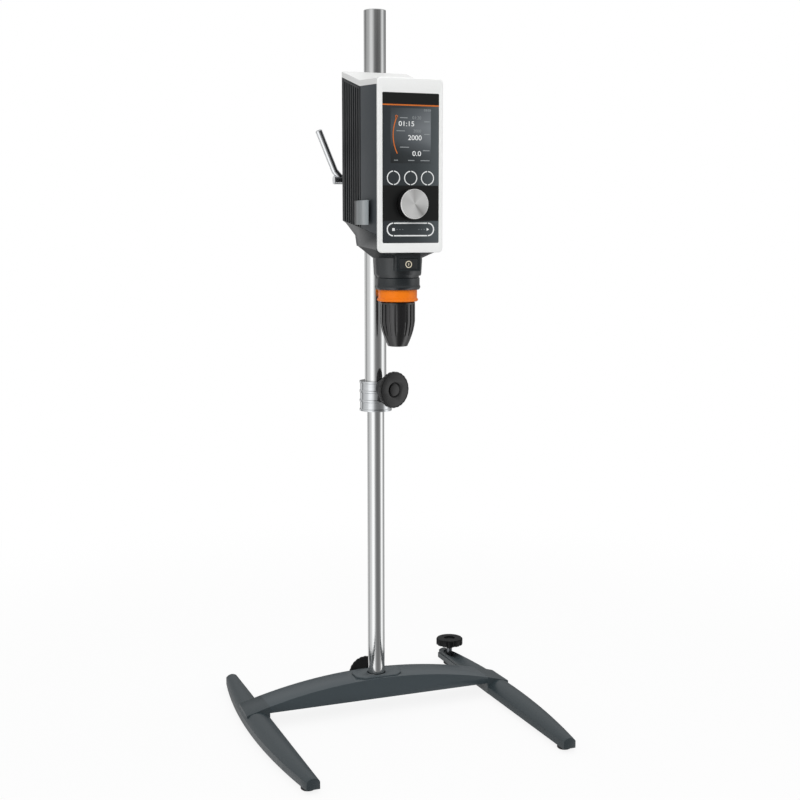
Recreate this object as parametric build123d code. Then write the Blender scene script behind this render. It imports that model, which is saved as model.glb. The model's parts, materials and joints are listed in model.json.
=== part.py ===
from build123d import *
import os
from math import atan2, cos, degrees, pi, radians, sin, sqrt, tan

# Overhead stirrer on a telescopic H stand.
# Millimetres, +Z up, bench at Z = 0.  X runs across the stand, -Y is the front with the display.
# The origin is the middle of the stand's footprint on the bench.

os.makedirs("parts", exist_ok=True)

# ------------------------------------------------------------------ clearances
RUN = 0.05            # radial running clearance of shafts, screws and guides
SEAT = 0.1            # face clearance of thrust pads
GAP = 0.3             # free gap between parts that move past each other

# ------------------------------------------------------------------ stand
LEG_LENGTH = 398.0
LEG_INNER = 161.0     # inner edge of a leg from the middle plane, halfway along
LEG_SPLAY = 2.0       # how much further out that edge is at the front end, and in at the rear
LEG_END_WIDTH = 17.0
LEG_BULGE = 17.0      # outward bow of the outer edge
LEG_BOTTOM = 5.0
LEG_SIDE = 9.5        # height of the upright side faces
CROWN_END = 4.5       # height of the domed top over the side faces, at the ends
CROWN_MID = 9.0       # and halfway along
LEG_STATIONS = 7
PAD_R = 9.0
PAD_SETBACK = 17.0
PAD_RIM = 1.0

COLUMN_Y = 46.0       # rod and tube axis
BEAM_HALF = 24.0
BEAM_BOTTOM = 20.5
BEAM_TOP = 48.8
BEAM_ARC_R = 670.0
TONGUE_HALF = 16.0
TONGUE_REACH = 11.5
TONGUE_T = 3.5
BEAM_SCREW_R = 2.5
BEAM_SCREW_HEAD_R = 4.5
BEAM_SCREW_HEAD_H = 4.0
BEAM_SCREW_PITCH = 20.0

PLATE_HALF_X = 33.0
PLATE_HALF_Y = 20.0
PLATE_CORNER = 10.0   # length of the plate's cut corners
PLATE_SEAT = 47.4
PLATE_T = 3.0
PLATE_BEVEL = 1.0
PLATE_HOLE_GAP = 1.3

ROD_R = 11.5
ROD_BOTTOM = 24.0
ROD_TOP = 655.0
ROD_CHAMFER = 1.5

# ------------------------------------------------------------------ clamp knobs
KNOB_R = 24.4
KNOB_HUB_R = 13.0
KNOB_HUB_L = 4.5
KNOB_FLARE_L = 6.5
KNOB_RIM_L = 2.8
KNOB_BEVEL = 1.2
KNOB_LOBES = 24
KNOB_LOBE_DEPTH = 0.8
KNOB_CAP_R = 7.7
KNOB_CAP_GROOVE = 2.8
KNOB_CAP_DEPTH = 2.0
KNOB_LINE_R = 22.0      # fine turned line near the edge of the face
KNOB_LINE_W = 0.7
CLAMP_SCREW_R = 4.0
THRUST_PAD_L = 3.0

BASE_KNOB_Z = 34.5
BASE_KNOB_HUB_GAP = 8.0

# ------------------------------------------------------------------ levelling foot
LEVEL_SETBACK = 20.2
LEVEL_KNOB_R = 20.0
LEVEL_KNOB_H = 9.4
LEVEL_KNOB_TOP = 40.4
LEVEL_LOBES = 12
LEVEL_LOBE_R = 3.0
LEVEL_HUB_R = 7.0
LEVEL_HUB_H = 6.0
LEVEL_STEM_R = 4.0
LEVEL_TIP = 2.2
LEVEL_PAD_R = 9.0
LEVEL_PAD_H = 3.6
LEVEL_SOCKET_R = 4.4
INSERT_R = 6.0
SCOOP_R = 7.6
SCOOP_FLOOR = 10.5
SCOOP_LENGTH = 34.0
SCOOP_REAR = 3.0

# ------------------------------------------------------------------ telescoping tube
TUBE_R = 14.5
TUBE_WALL = 1.5
TUBE_BOTTOM = 418.5
TUBE_TOP = 946.0
TUBE_PLUG_H = 16.0
BUSH_H = 22.0
COLLAR_R = 21.0
COLLAR_RIDGE = 0.8
COLLAR_RIDGE_H = 2.4
COLLAR_H = 40.5
COLLAR_RIDGES = 4
COLLAR_KNOB_Z = 450.0
COLLAR_KNOB_TURN = 16.5   # degrees from the front, towards +X
COLLAR_BUSH_R = 13.2
COLLAR_BUSH_REACH = 27.0

# ------------------------------------------------------------------ head
HEAD_X = -8.5
HEAD_W = 86.0
HEAD_DEPTH = 126.0
HEAD_GAP = 21.0       # tube axis to the back of the head
WALL = 3.5
REAR_DEPTH = 62.5     # finned rear shell
SEAM_BACK = 674.0     # underside of the shells at the back
SEAM_RISE = 0.1475    # its slope, down towards the front
ROOF_BACK = 856.5
ROOF_SPLIT = 839.5
ROOF_FRONT = 836.8
CAP_T = 7.5
PLAN_CORNER = 2.0
REAR_FLARE = 2.5        # how much further out each side wall stands at the back than at the split
FIN_COUNT = 7
FIN_PITCH = 7.3
FIN_FIRST = 6.5
FIN_SLOT = 3.6
FIN_DEPTH = 2.4
FIN_TOP_LAND = 4.0
SPLIT_ROUND = 3.0       # rounded rear edges of the front shell

FRAME_T = 4.0
FRAME_TOP = 845.0
FRAME_BOTTOM = 634.0
FRAME_CORNER = 6.0
FRAME_EDGE = 1.4
PANEL_X = 0.25        # panel centre from the head's middle
PANEL_W = 74.5
PANEL_TOP = 827.2
PANEL_BOTTOM = 645.8
PANEL_LEDGE = 4.0
GLASS_T = 1.6
GLASS_INSET = 0.4
SCREEN_W = 52.9
SCREEN_TOP = 808.8
SCREEN_BOTTOM = 742.7
SCREEN_BORDER = 3.0
MODULE_T = 4.0
BOARD_T = 1.6
BOARD_MARGIN = 5.0

SPEED_Z = 693.3
SPEED_R = 18.4
SPEED_FRONT_R = 18.0
SPEED_L = 11.8
SPEED_STAND_OFF = 1.2
SPEED_FACE_R = 16.9
SPEED_FACE_T = 1.0
ENCODER_R = 3.0
ENCODER_BODY = 14.0
ENCODER_BODY_L = 7.0
PLUNGER_L = 2.0

TAB_BACK = 47.0       # from the back of the head to the rear edge of the side tab
TAB_LENGTH = 58.0
TAB_BOTTOM = 668.0
TAB_H = 30.4
TAB_T = 1.8
TAB_LIFT = 3.6

# lower housing and neck
SPINDLE_SETBACK = 44.0    # spindle axis behind the front of the display frame
CREASE_DROP = 18.5      # height of the upright side band below the seam, at the front
CREASE_REAR_DROP = 25.0 # and at the rear end of the crease
UNDER_BACK_DROP = 3.5
UNDER_Y = 45.0        # from the back of the head to where the rear underside turns down
UNDER_Z = 655.0
FUNNEL_BOTTOM = 627.0
FUNNEL_HALF = 31.5
FUNNEL_CORNER = 30.0
NECK_R = 31.0
NECK_R_LOW = 30.0
NECK_BOTTOM = 604.5
NECK_GROOVE_R = 27.0
RING_TOP = 602.3
RING_BOTTOM = 587.0
RING_R = 28.4
RING_BULGE = 0.6
RING_ROOF_T = 4.0

BLOCK_W = 32.0
BLOCK_TOP = 629.5
BLOCK_BOTTOM = 611.0
BLOCK_REACH = 37.0
BUTTON_W = 24.0
BUTTON_H = 12.6
BUTTON_T = 3.0
BUTTON_TRAVEL_ROOM = 1.0

LOCK_R = 24.7
LOCK_LIP_R = 26.1
LOCK_LIP_H = 3.6
LOCK_WALL = 2.2
LOCK_BOTTOM = 572.0
LOCK_TOP = 592.0

# chuck
SLEEVE_R = 22.2
SLEEVE_TOP = 571.5
SLEEVE_STRAIGHT = 547.0
SLEEVE_TIP = 515.0
SLEEVE_TIP_R = 12.4
SLEEVE_RIBS = 20
SLEEVE_RIB_DEPTH = 1.1
SLEEVE_LAND = 3.0       # plain band above the flutes
FLUTE_BOTTOM = 529.0    # lower ends of the flutes
FLUTE_SHARE = 0.36      # width of a flute, in rib pitches
CHUCK_CORE_R = 14.5
CHUCK_NOSE_R = 9.0
CHUCK_STEP = 530.0
CHUCK_TOP = 575.0
CHUCK_BORE_R = 5.25
CHUCK_NOSE_RING = 5.5
JAW_ANGLE = 20.0
JAW_W = 3.0
JAW_BOTTOM = 536.0
JAW_H = 12.0
JAW_INNER = 5.35
JAW_FOOT = 1.85

# spindle, gears and motor
SPINDLE_R = 6.0
BEARING_R = 14.0
BEARING_H = 8.0
LOW_BEARING_Z = 610.0
BRACKET_BOTTOM = 700.0
BRACKET_T = 8.0
GEAR_MODULE = 1.3
SPINDLE_TEETH = 50
PINION_TEETH = 30
GEAR_BOTTOM = 677.0
GEAR_T = 8.0
TOOTH_PLAY = 0.12
MOTOR_R = 25.5
MOTOR_H = 80.0
MOTOR_WALL = 3.5
MOTOR_SHAFT_R = 4.0
ROTOR_R = 15.0
AIR_GAP = 0.6
CONTROL_BOARD_H = 95.0

# head clamp on the tube
CLAMP_BOTTOM = 702.0
CLAMP_TOP = 746.0
CLAMP_R = 23.0
LEVER_Z = 726.2
LEVER_SCREW_R = 5.0
LEVER_BOSS_R = 10.0
LEVER_BOSS_REACH = 40.0
LEVER_HEAD_R = 5.4
LEVER_HEAD_END = 58.1
LEVER_ROD_R = 4.3
LEVER_ROOT = (50.0, 4.5)   # the lever bar's centre line: outwards from the tube axis, and
LEVER_KNEE = (56.7, 11.8)  # up from the clamp screw
LEVER_TIP = (78.7, 63.9)
LEVER_TIP_BEVEL = 1.2

# power inlet
INLET_INSET = 18.5      # left wall to the inlet's middle
INLET_Z = 816.0
INLET_W = 27.0
INLET_H = 20.0
INLET_FLANGE = 2.0
INLET_FLANGE_T = 1.5
INLET_L = 18.0
SOCKET_W = 22.0
SOCKET_H = 15.0
SOCKET_DEPTH = 13.0
PIN_L = 7.0
PIN_W = 4.0
PIN_T = 2.0

# ------------------------------------------------------------------ places worked out from the sizes
HEAD_BACK = COLUMN_Y - HEAD_GAP
FRAME_FRONT = HEAD_BACK - HEAD_DEPTH
BODY_FRONT = FRAME_FRONT + FRAME_T
SPLIT_Y = HEAD_BACK - REAR_DEPTH
HALF_W = HEAD_W / 2
LEFT_WALL = HEAD_X - HALF_W
INLET_X = LEFT_WALL + INLET_INSET
CUT_LOW = SLEEVE_TIP
CUT_HIGH = ROOF_BACK + 2 * CAP_T
SPINDLE_Y = FRAME_FRONT + SPINDLE_SETBACK
GEAR_CENTRES = GEAR_MODULE * (SPINDLE_TEETH + PINION_TEETH) / 2
MOTOR_Y = SPINDLE_Y + GEAR_CENTRES
BRACKET_TOP = BRACKET_BOTTOM + BRACKET_T
PANEL_MID_X = HEAD_X + PANEL_X
GLASS_FRONT = FRAME_FRONT + GLASS_INSET
GLASS_BACK = GLASS_FRONT + GLASS_T
MODULE_BACK = GLASS_BACK + MODULE_T
BOARD_BACK = MODULE_BACK + BOARD_T
LEVEL_Y = LEG_LENGTH / 2 - LEVEL_SETBACK
TUBE_BORE = TUBE_R - TUBE_WALL
TURN = radians(COLLAR_KNOB_TURN)


def seam(y):
    return SEAM_BACK + (y - HEAD_BACK) * SEAM_RISE


def roof(y):
    if y > SPLIT_Y:
        return ROOF_SPLIT + (ROOF_BACK - ROOF_SPLIT) * (y - SPLIT_Y) / REAR_DEPTH
    return ROOF_SPLIT + (ROOF_FRONT - ROOF_SPLIT) * (SPLIT_Y - y) / (SPLIT_Y - BODY_FRONT)


def box(x0, x1, y0, y1, z0, z1):
    return Pos((x0 + x1) / 2, (y0 + y1) / 2, (z0 + z1) / 2) * Box(x1 - x0, y1 - y0, z1 - z0)


def post(r, z0, z1, x=0.0, y=0.0):
    return Pos(x, y, (z0 + z1) / 2) * Cylinder(r, z1 - z0)


def rod_between(p, q, r):
    """A round bar from point p to point q."""
    start, end = Vector(*p), Vector(*q)
    line = end - start
    return Plane(origin=start, z_dir=line) * Cylinder(
        r, line.length, align=(Align.CENTER, Align.CENTER, Align.MIN))


def turned(points, x=0.0, y=0.0):
    """A solid of revolution about a vertical axis, from (radius, z) points."""
    face = make_face(Polyline(*[(r, 0, z) for r, z in points], close=True))
    return Pos(x, y, 0) * revolve(face, Axis.Z)


def push(face, length, way):
    """Extrude a face along a direction, with its normal turned that way first."""
    flat = face.faces()[0]
    facing = flat if flat.normal_at().dot(way) > 0 else -flat
    return extrude(facing, amount=length, dir=way)


def prism_x(points, x0, x1):
    """A side view in (y, z), extruded across the object."""
    face = make_face(Polyline(*[(x0, y, z) for y, z in points], close=True))
    return push(face, x1 - x0, Vector(1, 0, 0))


def prism_z(points, z0, z1):
    face = make_face(Polyline(*[(x, y, z0) for x, y in points], close=True))
    return push(face, z1 - z0, Vector(0, 0, 1))


def star(radius, depth, lobes, z0, z1, duty=0.5):
    """An upright bar with raised lobes; duty is the share of a pitch that stands at full radius."""
    points = []
    for i in range(lobes):
        a = 2 * pi * i / lobes
        half = pi / lobes
        points.append((radius * cos(a - half * duty), radius * sin(a - half * duty)))
        points.append((radius * cos(a + half * duty), radius * sin(a + half * duty)))
        low = radius - depth
        slope = 0.4 * (1 - duty)
        for turn in (duty + slope, 2 - duty - slope):
            points.append((low * cos(a + half * turn), low * sin(a + half * turn)))
    return prism_z(points, z0, z1)


def save(name, shape):
    export_step(shape, f"parts/{name}.step")


# ------------------------------------------------------------------ stand
def leg_edges(y):
    t = y / (LEG_LENGTH / 2)
    inner = LEG_INNER - LEG_SPLAY * t
    outer = inner + LEG_END_WIDTH + LEG_BULGE * (1 - t * t)
    return inner, outer


def leg_section(y):
    inner, outer = leg_edges(y)
    t = y / (LEG_LENGTH / 2)
    side = LEG_BOTTOM + LEG_SIDE
    crown = side + CROWN_END + (CROWN_MID - CROWN_END) * (1 - t * t)
    foot = Polyline((inner, y, side), (inner, y, LEG_BOTTOM), (outer, y, LEG_BOTTOM), (outer, y, side))
    top = ThreePointArc((outer, y, side), ((inner + outer) / 2, y, crown), (inner, y, side))
    return make_face([foot, top])


def beam_arc(x0, x1, half, bottom):
    """The beam's arched bar between two places across the stand."""
    drum = Pos(0, COLUMN_Y, BEAM_TOP - BEAM_ARC_R) * Rot(90, 0, 0) * Cylinder(BEAM_ARC_R, 2 * half)
    return drum & box(x0, x1, COLUMN_Y - half, COLUMN_Y + half, bottom, BEAM_TOP + 1)


def beam_end():
    return leg_edges(COLUMN_Y)[0]


def screw_places():
    x = beam_end() + TONGUE_REACH / 2
    return [(side * x, COLUMN_Y + off) for side in (-1, 1)
            for off in (-BEAM_SCREW_PITCH / 2, BEAM_SCREW_PITCH / 2)]


def right_leg():
    stations = [LEG_LENGTH * (i / (LEG_STATIONS - 1) - 0.5) for i in range(LEG_STATIONS)]
    leg = loft([leg_section(y) for y in stations])
    inner, outer = leg_edges(COLUMN_Y)
    saddle = beam_arc(inner, outer + 1, BEAM_HALF, LEG_BOTTOM)
    plan = [leg_edges(COLUMN_Y + s)[i] for s, i in ((-BEAM_HALF, 0), (-BEAM_HALF, 1),
                                                    (BEAM_HALF, 1), (BEAM_HALF, 0))]
    inset = 2.0
    saddle &= prism_z([(inner, COLUMN_Y - BEAM_HALF), (plan[1] - inset, COLUMN_Y - BEAM_HALF),
                       (plan[2] - inset, COLUMN_Y + BEAM_HALF), (inner, COLUMN_Y + BEAM_HALF)],
                      LEG_BOTTOM, BEAM_TOP)
    leg += saddle
    leg -= box(0, inner, -LEG_LENGTH, LEG_LENGTH, BEAM_BOTTOM - 8, BEAM_TOP)
    leg -= box(inner - 1, inner + TONGUE_REACH, COLUMN_Y - TONGUE_HALF, COLUMN_Y + TONGUE_HALF,
               BEAM_BOTTOM, BEAM_BOTTOM + TONGUE_T)
    for x, y in screw_places():
        if x > 0:
            leg -= post(BEAM_SCREW_R, LEG_BOTTOM, BEAM_BOTTOM + 1, x, y)
            leg -= post(BEAM_SCREW_HEAD_R, LEG_BOTTOM, LEG_BOTTOM + BEAM_SCREW_HEAD_H, x, y)
    return leg


def foot_mid(y):
    return sum(leg_edges(y)) / 2


def stand():
    leg = right_leg()
    save("left_leg", mirror(leg, Plane.YZ))
    x = foot_mid(LEVEL_Y)
    leg -= post(INSERT_R, 0, LEG_BOTTOM + LEG_SIDE + 9, x, LEVEL_Y)
    floor = SCOOP_FLOOR + SCOOP_R
    rear = (x, LEVEL_Y + SCOOP_REAR, floor)
    mid = (x, LEVEL_Y - SCOOP_R, floor)
    out = (x, mid[1] - SCOOP_LENGTH, floor + SCOOP_FLOOR)
    leg -= rod_between(rear, mid, SCOOP_R) + rod_between(mid, out, SCOOP_R)
    leg -= Pos(*rear) * Sphere(SCOOP_R) + Pos(*mid) * Sphere(SCOOP_R)
    save("right_leg", leg)
    insert = post(INSERT_R, LEG_BOTTOM, SCOOP_FLOOR, x, LEVEL_Y)
    save("foot_insert", insert - post(LEVEL_STEM_R + RUN, 0, SCOOP_FLOOR + 1, x, LEVEL_Y))

    end = beam_end()
    beam = beam_arc(-end, end, BEAM_HALF, BEAM_BOTTOM)
    for side in (-1, 1):
        lo, hi = sorted((side * (end - 1), side * (end + TONGUE_REACH)))
        beam += box(lo, hi, COLUMN_Y - TONGUE_HALF, COLUMN_Y + TONGUE_HALF, BEAM_BOTTOM,
                    BEAM_BOTTOM + TONGUE_T)
    beam -= plate_outline(PLATE_SEAT, BEAM_TOP + 5)
    beam -= post(ROD_R, ROD_BOTTOM, BEAM_TOP + 5, 0, COLUMN_Y)
    beam -= rod_between((0, COLUMN_Y, BASE_KNOB_Z), (0, COLUMN_Y + BEAM_HALF + 5, BASE_KNOB_Z),
                        CLAMP_SCREW_R + RUN)
    for x, y in screw_places():
        beam -= post(BEAM_SCREW_R, BEAM_BOTTOM - 1, BEAM_BOTTOM + TONGUE_T, x, y)
    save("cross_beam", beam)

    plate = plate_outline(PLATE_SEAT, PLATE_SEAT + PLATE_T)
    plate = chamfer(plate.edges().group_by(Axis.Z)[-1], PLATE_BEVEL)
    save("socket_plate", plate - post(ROD_R + PLATE_HOLE_GAP, PLATE_SEAT - 1, PLATE_SEAT + 9, 0, COLUMN_Y))

    screws = []
    for x, y in screw_places():
        head = LEG_BOTTOM + BEAM_SCREW_HEAD_H
        screws.append(post(BEAM_SCREW_R, head - 1, BEAM_BOTTOM + TONGUE_T, x, y)
                      + post(BEAM_SCREW_HEAD_R, LEG_BOTTOM + 0.5, head, x, y))
    save("beam_screws", Compound(children=screws))

    front = -(LEG_LENGTH / 2 - PAD_SETBACK)
    pads = []
    for x, y in ((foot_mid(front), front), (-foot_mid(front), front), (-foot_mid(-front), -front)):
        pads.append(turned([(0, 0), (PAD_R - PAD_RIM, 0), (PAD_R, PAD_RIM), (PAD_R, LEG_BOTTOM),
                            (0, LEG_BOTTOM)], x, y))
    save("rubber_feet", Compound(children=pads))

    rod = turned([(0, ROD_BOTTOM), (ROD_R, ROD_BOTTOM), (ROD_R, ROD_TOP - ROD_CHAMFER),
                  (ROD_R - ROD_CHAMFER, ROD_TOP), (0, ROD_TOP)], 0, COLUMN_Y)
    save("inner_rod", rod)


def plate_outline(z0, z1):
    a, b, c = PLATE_HALF_X, PLATE_HALF_Y, PLATE_CORNER
    points = [(-a, COLUMN_Y - b + c), (-a + c, COLUMN_Y - b), (a - c, COLUMN_Y - b), (a, COLUMN_Y - b + c),
              (a, COLUMN_Y + b - c), (a - c, COLUMN_Y + b), (-a + c, COLUMN_Y + b), (-a, COLUMN_Y + b - c)]
    return prism_z(points, z0, z1)


# ------------------------------------------------------------------ clamp screws with knobs
def clamp_knob():
    """The knob with its hub on the origin, pointing along +Z."""
    flare = KNOB_HUB_L + KNOB_FLARE_L
    rim = flare + KNOB_RIM_L
    face = rim + KNOB_BEVEL
    body = turned([(0, 0), (KNOB_HUB_R, 0), (KNOB_HUB_R, KNOB_HUB_L), (KNOB_R, flare), (KNOB_R, rim),
                   (KNOB_R - KNOB_BEVEL, face), (0, face)])
    body &= star(KNOB_R + 0.01, KNOB_LOBE_DEPTH, KNOB_LOBES, -1, face + 1)
    low = face - KNOB_CAP_DEPTH
    wide = KNOB_CAP_R + KNOB_CAP_GROOVE
    body -= turned([(KNOB_CAP_R, low), (KNOB_CAP_R + KNOB_CAP_GROOVE / 3, low), (wide, face),
                    (wide, face + 1), (KNOB_CAP_R, face + 1)])
    line = KNOB_LINE_R + KNOB_LINE_W
    body -= turned([(KNOB_LINE_R, face - KNOB_LINE_W), (line, face - KNOB_LINE_W), (line, face + 1),
                    (KNOB_LINE_R, face + 1)])
    return body - post(CLAMP_SCREW_R, -1, flare)


def knob_screw(name, origin, way, pad_at, hub_at):
    """Knob, screw and thrust pad along one horizontal axis; distances run from the rod's axis."""
    frame = Plane(origin=origin, x_dir=(0, 0, 1), z_dir=way)
    flare = KNOB_HUB_L + KNOB_FLARE_L
    save(f"{name}_knob", frame * Pos(0, 0, hub_at) * clamp_knob())
    pad_end = pad_at + THRUST_PAD_L
    save(f"{name}_pad", frame * post(CLAMP_SCREW_R, pad_at, pad_end))
    save(f"{name}_screw", frame * post(CLAMP_SCREW_R, pad_end, hub_at + flare))


def base_clamp():
    knob_screw("base_clamp", (0, COLUMN_Y, BASE_KNOB_Z), (0, 1, 0), ROD_R + SEAT,
               BEAM_HALF + BASE_KNOB_HUB_GAP)


# ------------------------------------------------------------------ levelling foot
def levelling_foot():
    x, y = foot_mid(LEVEL_Y), LEVEL_Y
    under = LEVEL_KNOB_TOP - LEVEL_KNOB_H
    bevel = 1.2
    knob = turned([(0, under), (LEVEL_KNOB_R, under), (LEVEL_KNOB_R, LEVEL_KNOB_TOP - bevel),
                   (LEVEL_KNOB_R - bevel, LEVEL_KNOB_TOP), (0, LEVEL_KNOB_TOP)])
    knob += turned([(0, under - LEVEL_HUB_H), (LEVEL_STEM_R + 1, under - LEVEL_HUB_H), (LEVEL_HUB_R, under),
                    (LEVEL_HUB_R, under + 1), (0, under + 1)])
    for i in range(LEVEL_LOBES):
        a = 2 * pi * i / LEVEL_LOBES
        reach = LEVEL_KNOB_R + LEVEL_LOBE_R * 0.6
        knob -= post(LEVEL_LOBE_R, under - 1, LEVEL_KNOB_TOP + 1, reach * cos(a), reach * sin(a))
    knob -= post(LEVEL_KNOB_R * 0.42, LEVEL_KNOB_TOP - 2.2, LEVEL_KNOB_TOP + 1)
    knob -= post(LEVEL_STEM_R, under - LEVEL_HUB_H - 1, under + 2)
    save("levelling_knob", Pos(x, y, 0) * knob)
    save("levelling_screw", post(LEVEL_STEM_R, LEVEL_TIP, under + 2, x, y))
    pad = turned([(0, 0), (LEVEL_PAD_R - PAD_RIM, 0), (LEVEL_PAD_R, PAD_RIM), (LEVEL_PAD_R, LEVEL_PAD_H),
                  (0, LEVEL_PAD_H)], x, y)
    save("levelling_pad", pad - post(LEVEL_SOCKET_R, LEVEL_TIP - RUN, LEVEL_PAD_H + 1, x, y))


# ------------------------------------------------------------------ telescoping tube
def collar_way():
    return (sin(TURN), -cos(TURN), 0)


def collar_hole(r):
    dx, dy, _ = collar_way()
    far = COLLAR_BUSH_REACH + 5
    return rod_between((0, COLUMN_Y, COLLAR_KNOB_Z),
                       (dx * far, COLUMN_Y + dy * far, COLLAR_KNOB_Z), r)


def telescope():
    tube = post(TUBE_R, TUBE_BOTTOM, TUBE_TOP, 0, COLUMN_Y)
    tube = fillet(tube.edges().group_by(Axis.Z)[-1], 1.0)
    tube -= post(TUBE_BORE, TUBE_BOTTOM - 1, TUBE_TOP + 1, 0, COLUMN_Y)
    tube -= collar_hole(CLAMP_SCREW_R + RUN)
    save("outer_tube", tube)
    plug = turned([(0, TUBE_TOP - TUBE_PLUG_H), (TUBE_BORE, TUBE_TOP - TUBE_PLUG_H),
                   (TUBE_BORE, TUBE_TOP - 1), (TUBE_BORE - 1.5, TUBE_TOP), (0, TUBE_TOP)], 0, COLUMN_Y)
    save("tube_plug", plug)

    low, high = TUBE_BOTTOM, TUBE_BOTTOM + COLLAR_H
    points = [(TUBE_R, low), (COLLAR_R + COLLAR_RIDGE, low)]
    step = (COLLAR_H - COLLAR_RIDGE_H) / (COLLAR_RIDGES - 1)
    for i in range(COLLAR_RIDGES):
        z = low + i * step
        if i:
            points.append((COLLAR_R, z - 0.6))
            points.append((COLLAR_R + COLLAR_RIDGE, z))
        points.append((COLLAR_R + COLLAR_RIDGE, z + COLLAR_RIDGE_H))
        if i < COLLAR_RIDGES - 1:
            points.append((COLLAR_R, z + COLLAR_RIDGE_H + 0.6))
    points.append((TUBE_R, high))
    collar = turned(points, 0, COLUMN_Y) - collar_hole(CLAMP_SCREW_R + RUN)
    dx, dy, _ = collar_way()
    near, far = TUBE_R + 3, COLLAR_BUSH_REACH
    boss = rod_between((dx * near, COLUMN_Y + dy * near, COLLAR_KNOB_Z),
                       (dx * far, COLUMN_Y + dy * far, COLLAR_KNOB_Z), COLLAR_BUSH_R)
    solid_collar = post(COLLAR_R + COLLAR_RIDGE, low - 1, high, 0, COLUMN_Y)
    save("clamp_collar", collar)
    save("collar_bush", boss - solid_collar - collar_hole(CLAMP_SCREW_R + RUN)
         - post(TUBE_R + RUN, low - 1, high + COLLAR_BUSH_R, 0, COLUMN_Y))
    knob_screw("collar_clamp", (0, COLUMN_Y, COLLAR_KNOB_Z), collar_way(), ROD_R + SEAT,
               COLLAR_BUSH_REACH + GAP)
    bush = post(TUBE_BORE - RUN, TUBE_BOTTOM, TUBE_BOTTOM + BUSH_H, 0, COLUMN_Y)
    save("guide_bush", bush - post(ROD_R + RUN, TUBE_BOTTOM - 1, TUBE_BOTTOM + BUSH_H + 1, 0, COLUMN_Y))


# ------------------------------------------------------------------ head shells
def half_width(y):
    return HALF_W + REAR_FLARE * max(0.0, y - SPLIT_Y) / REAR_DEPTH


def plan_block(y0, y1):
    """The head's plan between two depths, wider towards the back, with its rear corners rounded."""
    depths = [y0, SPLIT_Y, y1] if y0 < SPLIT_Y < y1 else [y0, y1]
    points = [(HEAD_X + half_width(y), y) for y in depths]
    points += [(HEAD_X - half_width(y), y) for y in reversed(depths)]
    block = prism_z(points, CUT_LOW, CUT_HIGH)
    return fillet(block.edges().filter_by(Axis.Z).group_by(Axis.Y)[-1], PLAN_CORNER)


def side_band(y0, y1, lift=0.0, drop=0.0):
    """The shells' side view between two depths, lifted off the seam and dropped from the roof."""
    middle = [(SPLIT_Y, roof(SPLIT_Y) - drop)] if y0 < SPLIT_Y < y1 else []
    points = [(y0, seam(y0) + lift), (y1, seam(y1) + lift), (y1, roof(y1) - drop)] + middle
    points.append((y0, roof(y0) - drop))
    return prism_x(points, HEAD_X - HEAD_W, HEAD_X + HEAD_W)


def spindle_hole(r):
    return post(r, SLEEVE_TIP, BRACKET_BOTTOM, HEAD_X, SPINDLE_Y)


def head_shells():
    outer = side_band(SPLIT_Y, HEAD_BACK) & plan_block(SPLIT_Y - 1, HEAD_BACK)
    inner = side_band(SPLIT_Y - 1, HEAD_BACK - WALL, WALL, WALL)
    inner &= box(HEAD_X - HALF_W + WALL, HEAD_X + HALF_W - WALL, SPLIT_Y - 1, HEAD_BACK - WALL,
                 CUT_LOW, CUT_HIGH)
    rear = outer - inner
    for i in range(FIN_COUNT):
        y = SPLIT_Y + FIN_FIRST + i * FIN_PITCH
        top = roof(y) - FIN_TOP_LAND
        for x in (HEAD_X - half_width(y), HEAD_X + half_width(y)):
            rear -= box(x - FIN_DEPTH, x + FIN_DEPTH, y - FIN_SLOT / 2, y + FIN_SLOT / 2, CUT_LOW, top)
    x = INLET_X
    rear -= box(x - INLET_W / 2, x + INLET_W / 2, HEAD_BACK - WALL - 1, HEAD_BACK + 1,
                INLET_Z - INLET_H / 2, INLET_Z + INLET_H / 2)
    save("rear_shell", rear)

    outer = side_band(BODY_FRONT, SPLIT_Y)
    outer &= box(LEFT_WALL, LEFT_WALL + HEAD_W, BODY_FRONT, SPLIT_Y, CUT_LOW, CUT_HIGH)
    outer = fillet(outer.edges().filter_by(Axis.Z).group_by(Axis.Y)[-1], SPLIT_ROUND)
    inner = side_band(BODY_FRONT - 1, SPLIT_Y + 1, WALL, WALL)
    inner &= box(LEFT_WALL + WALL, LEFT_WALL + HEAD_W - WALL, BODY_FRONT - 1, SPLIT_Y + 1, CUT_LOW, CUT_HIGH)
    save("front_shell", outer - inner - spindle_hole(BEARING_R - 2))

    points = [(y, roof(y)) for y in (BODY_FRONT, SPLIT_Y, HEAD_BACK)]
    points += [(y, roof(y) + CAP_T) for y in (HEAD_BACK, SPLIT_Y, BODY_FRONT)]
    cap = prism_x(points, HEAD_X - HEAD_W, HEAD_X + HEAD_W) & plan_block(BODY_FRONT, HEAD_BACK)
    top = [e for e in cap.edges() if e.center().Z > roof(e.center().Y) + CAP_T - 0.5
           and abs(e.center().Y - SPLIT_Y) > 2 and e.center().Y > BODY_FRONT + 1]
    save("top_cap", fillet(top, 1.2))


def rounded_xz(x_mid, half, z0, z1, y0, y1, corner):
    block = box(x_mid - half, x_mid + half, y0, y1, z0, z1)
    return fillet(block.edges().filter_by(Axis.Y), corner)


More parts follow.
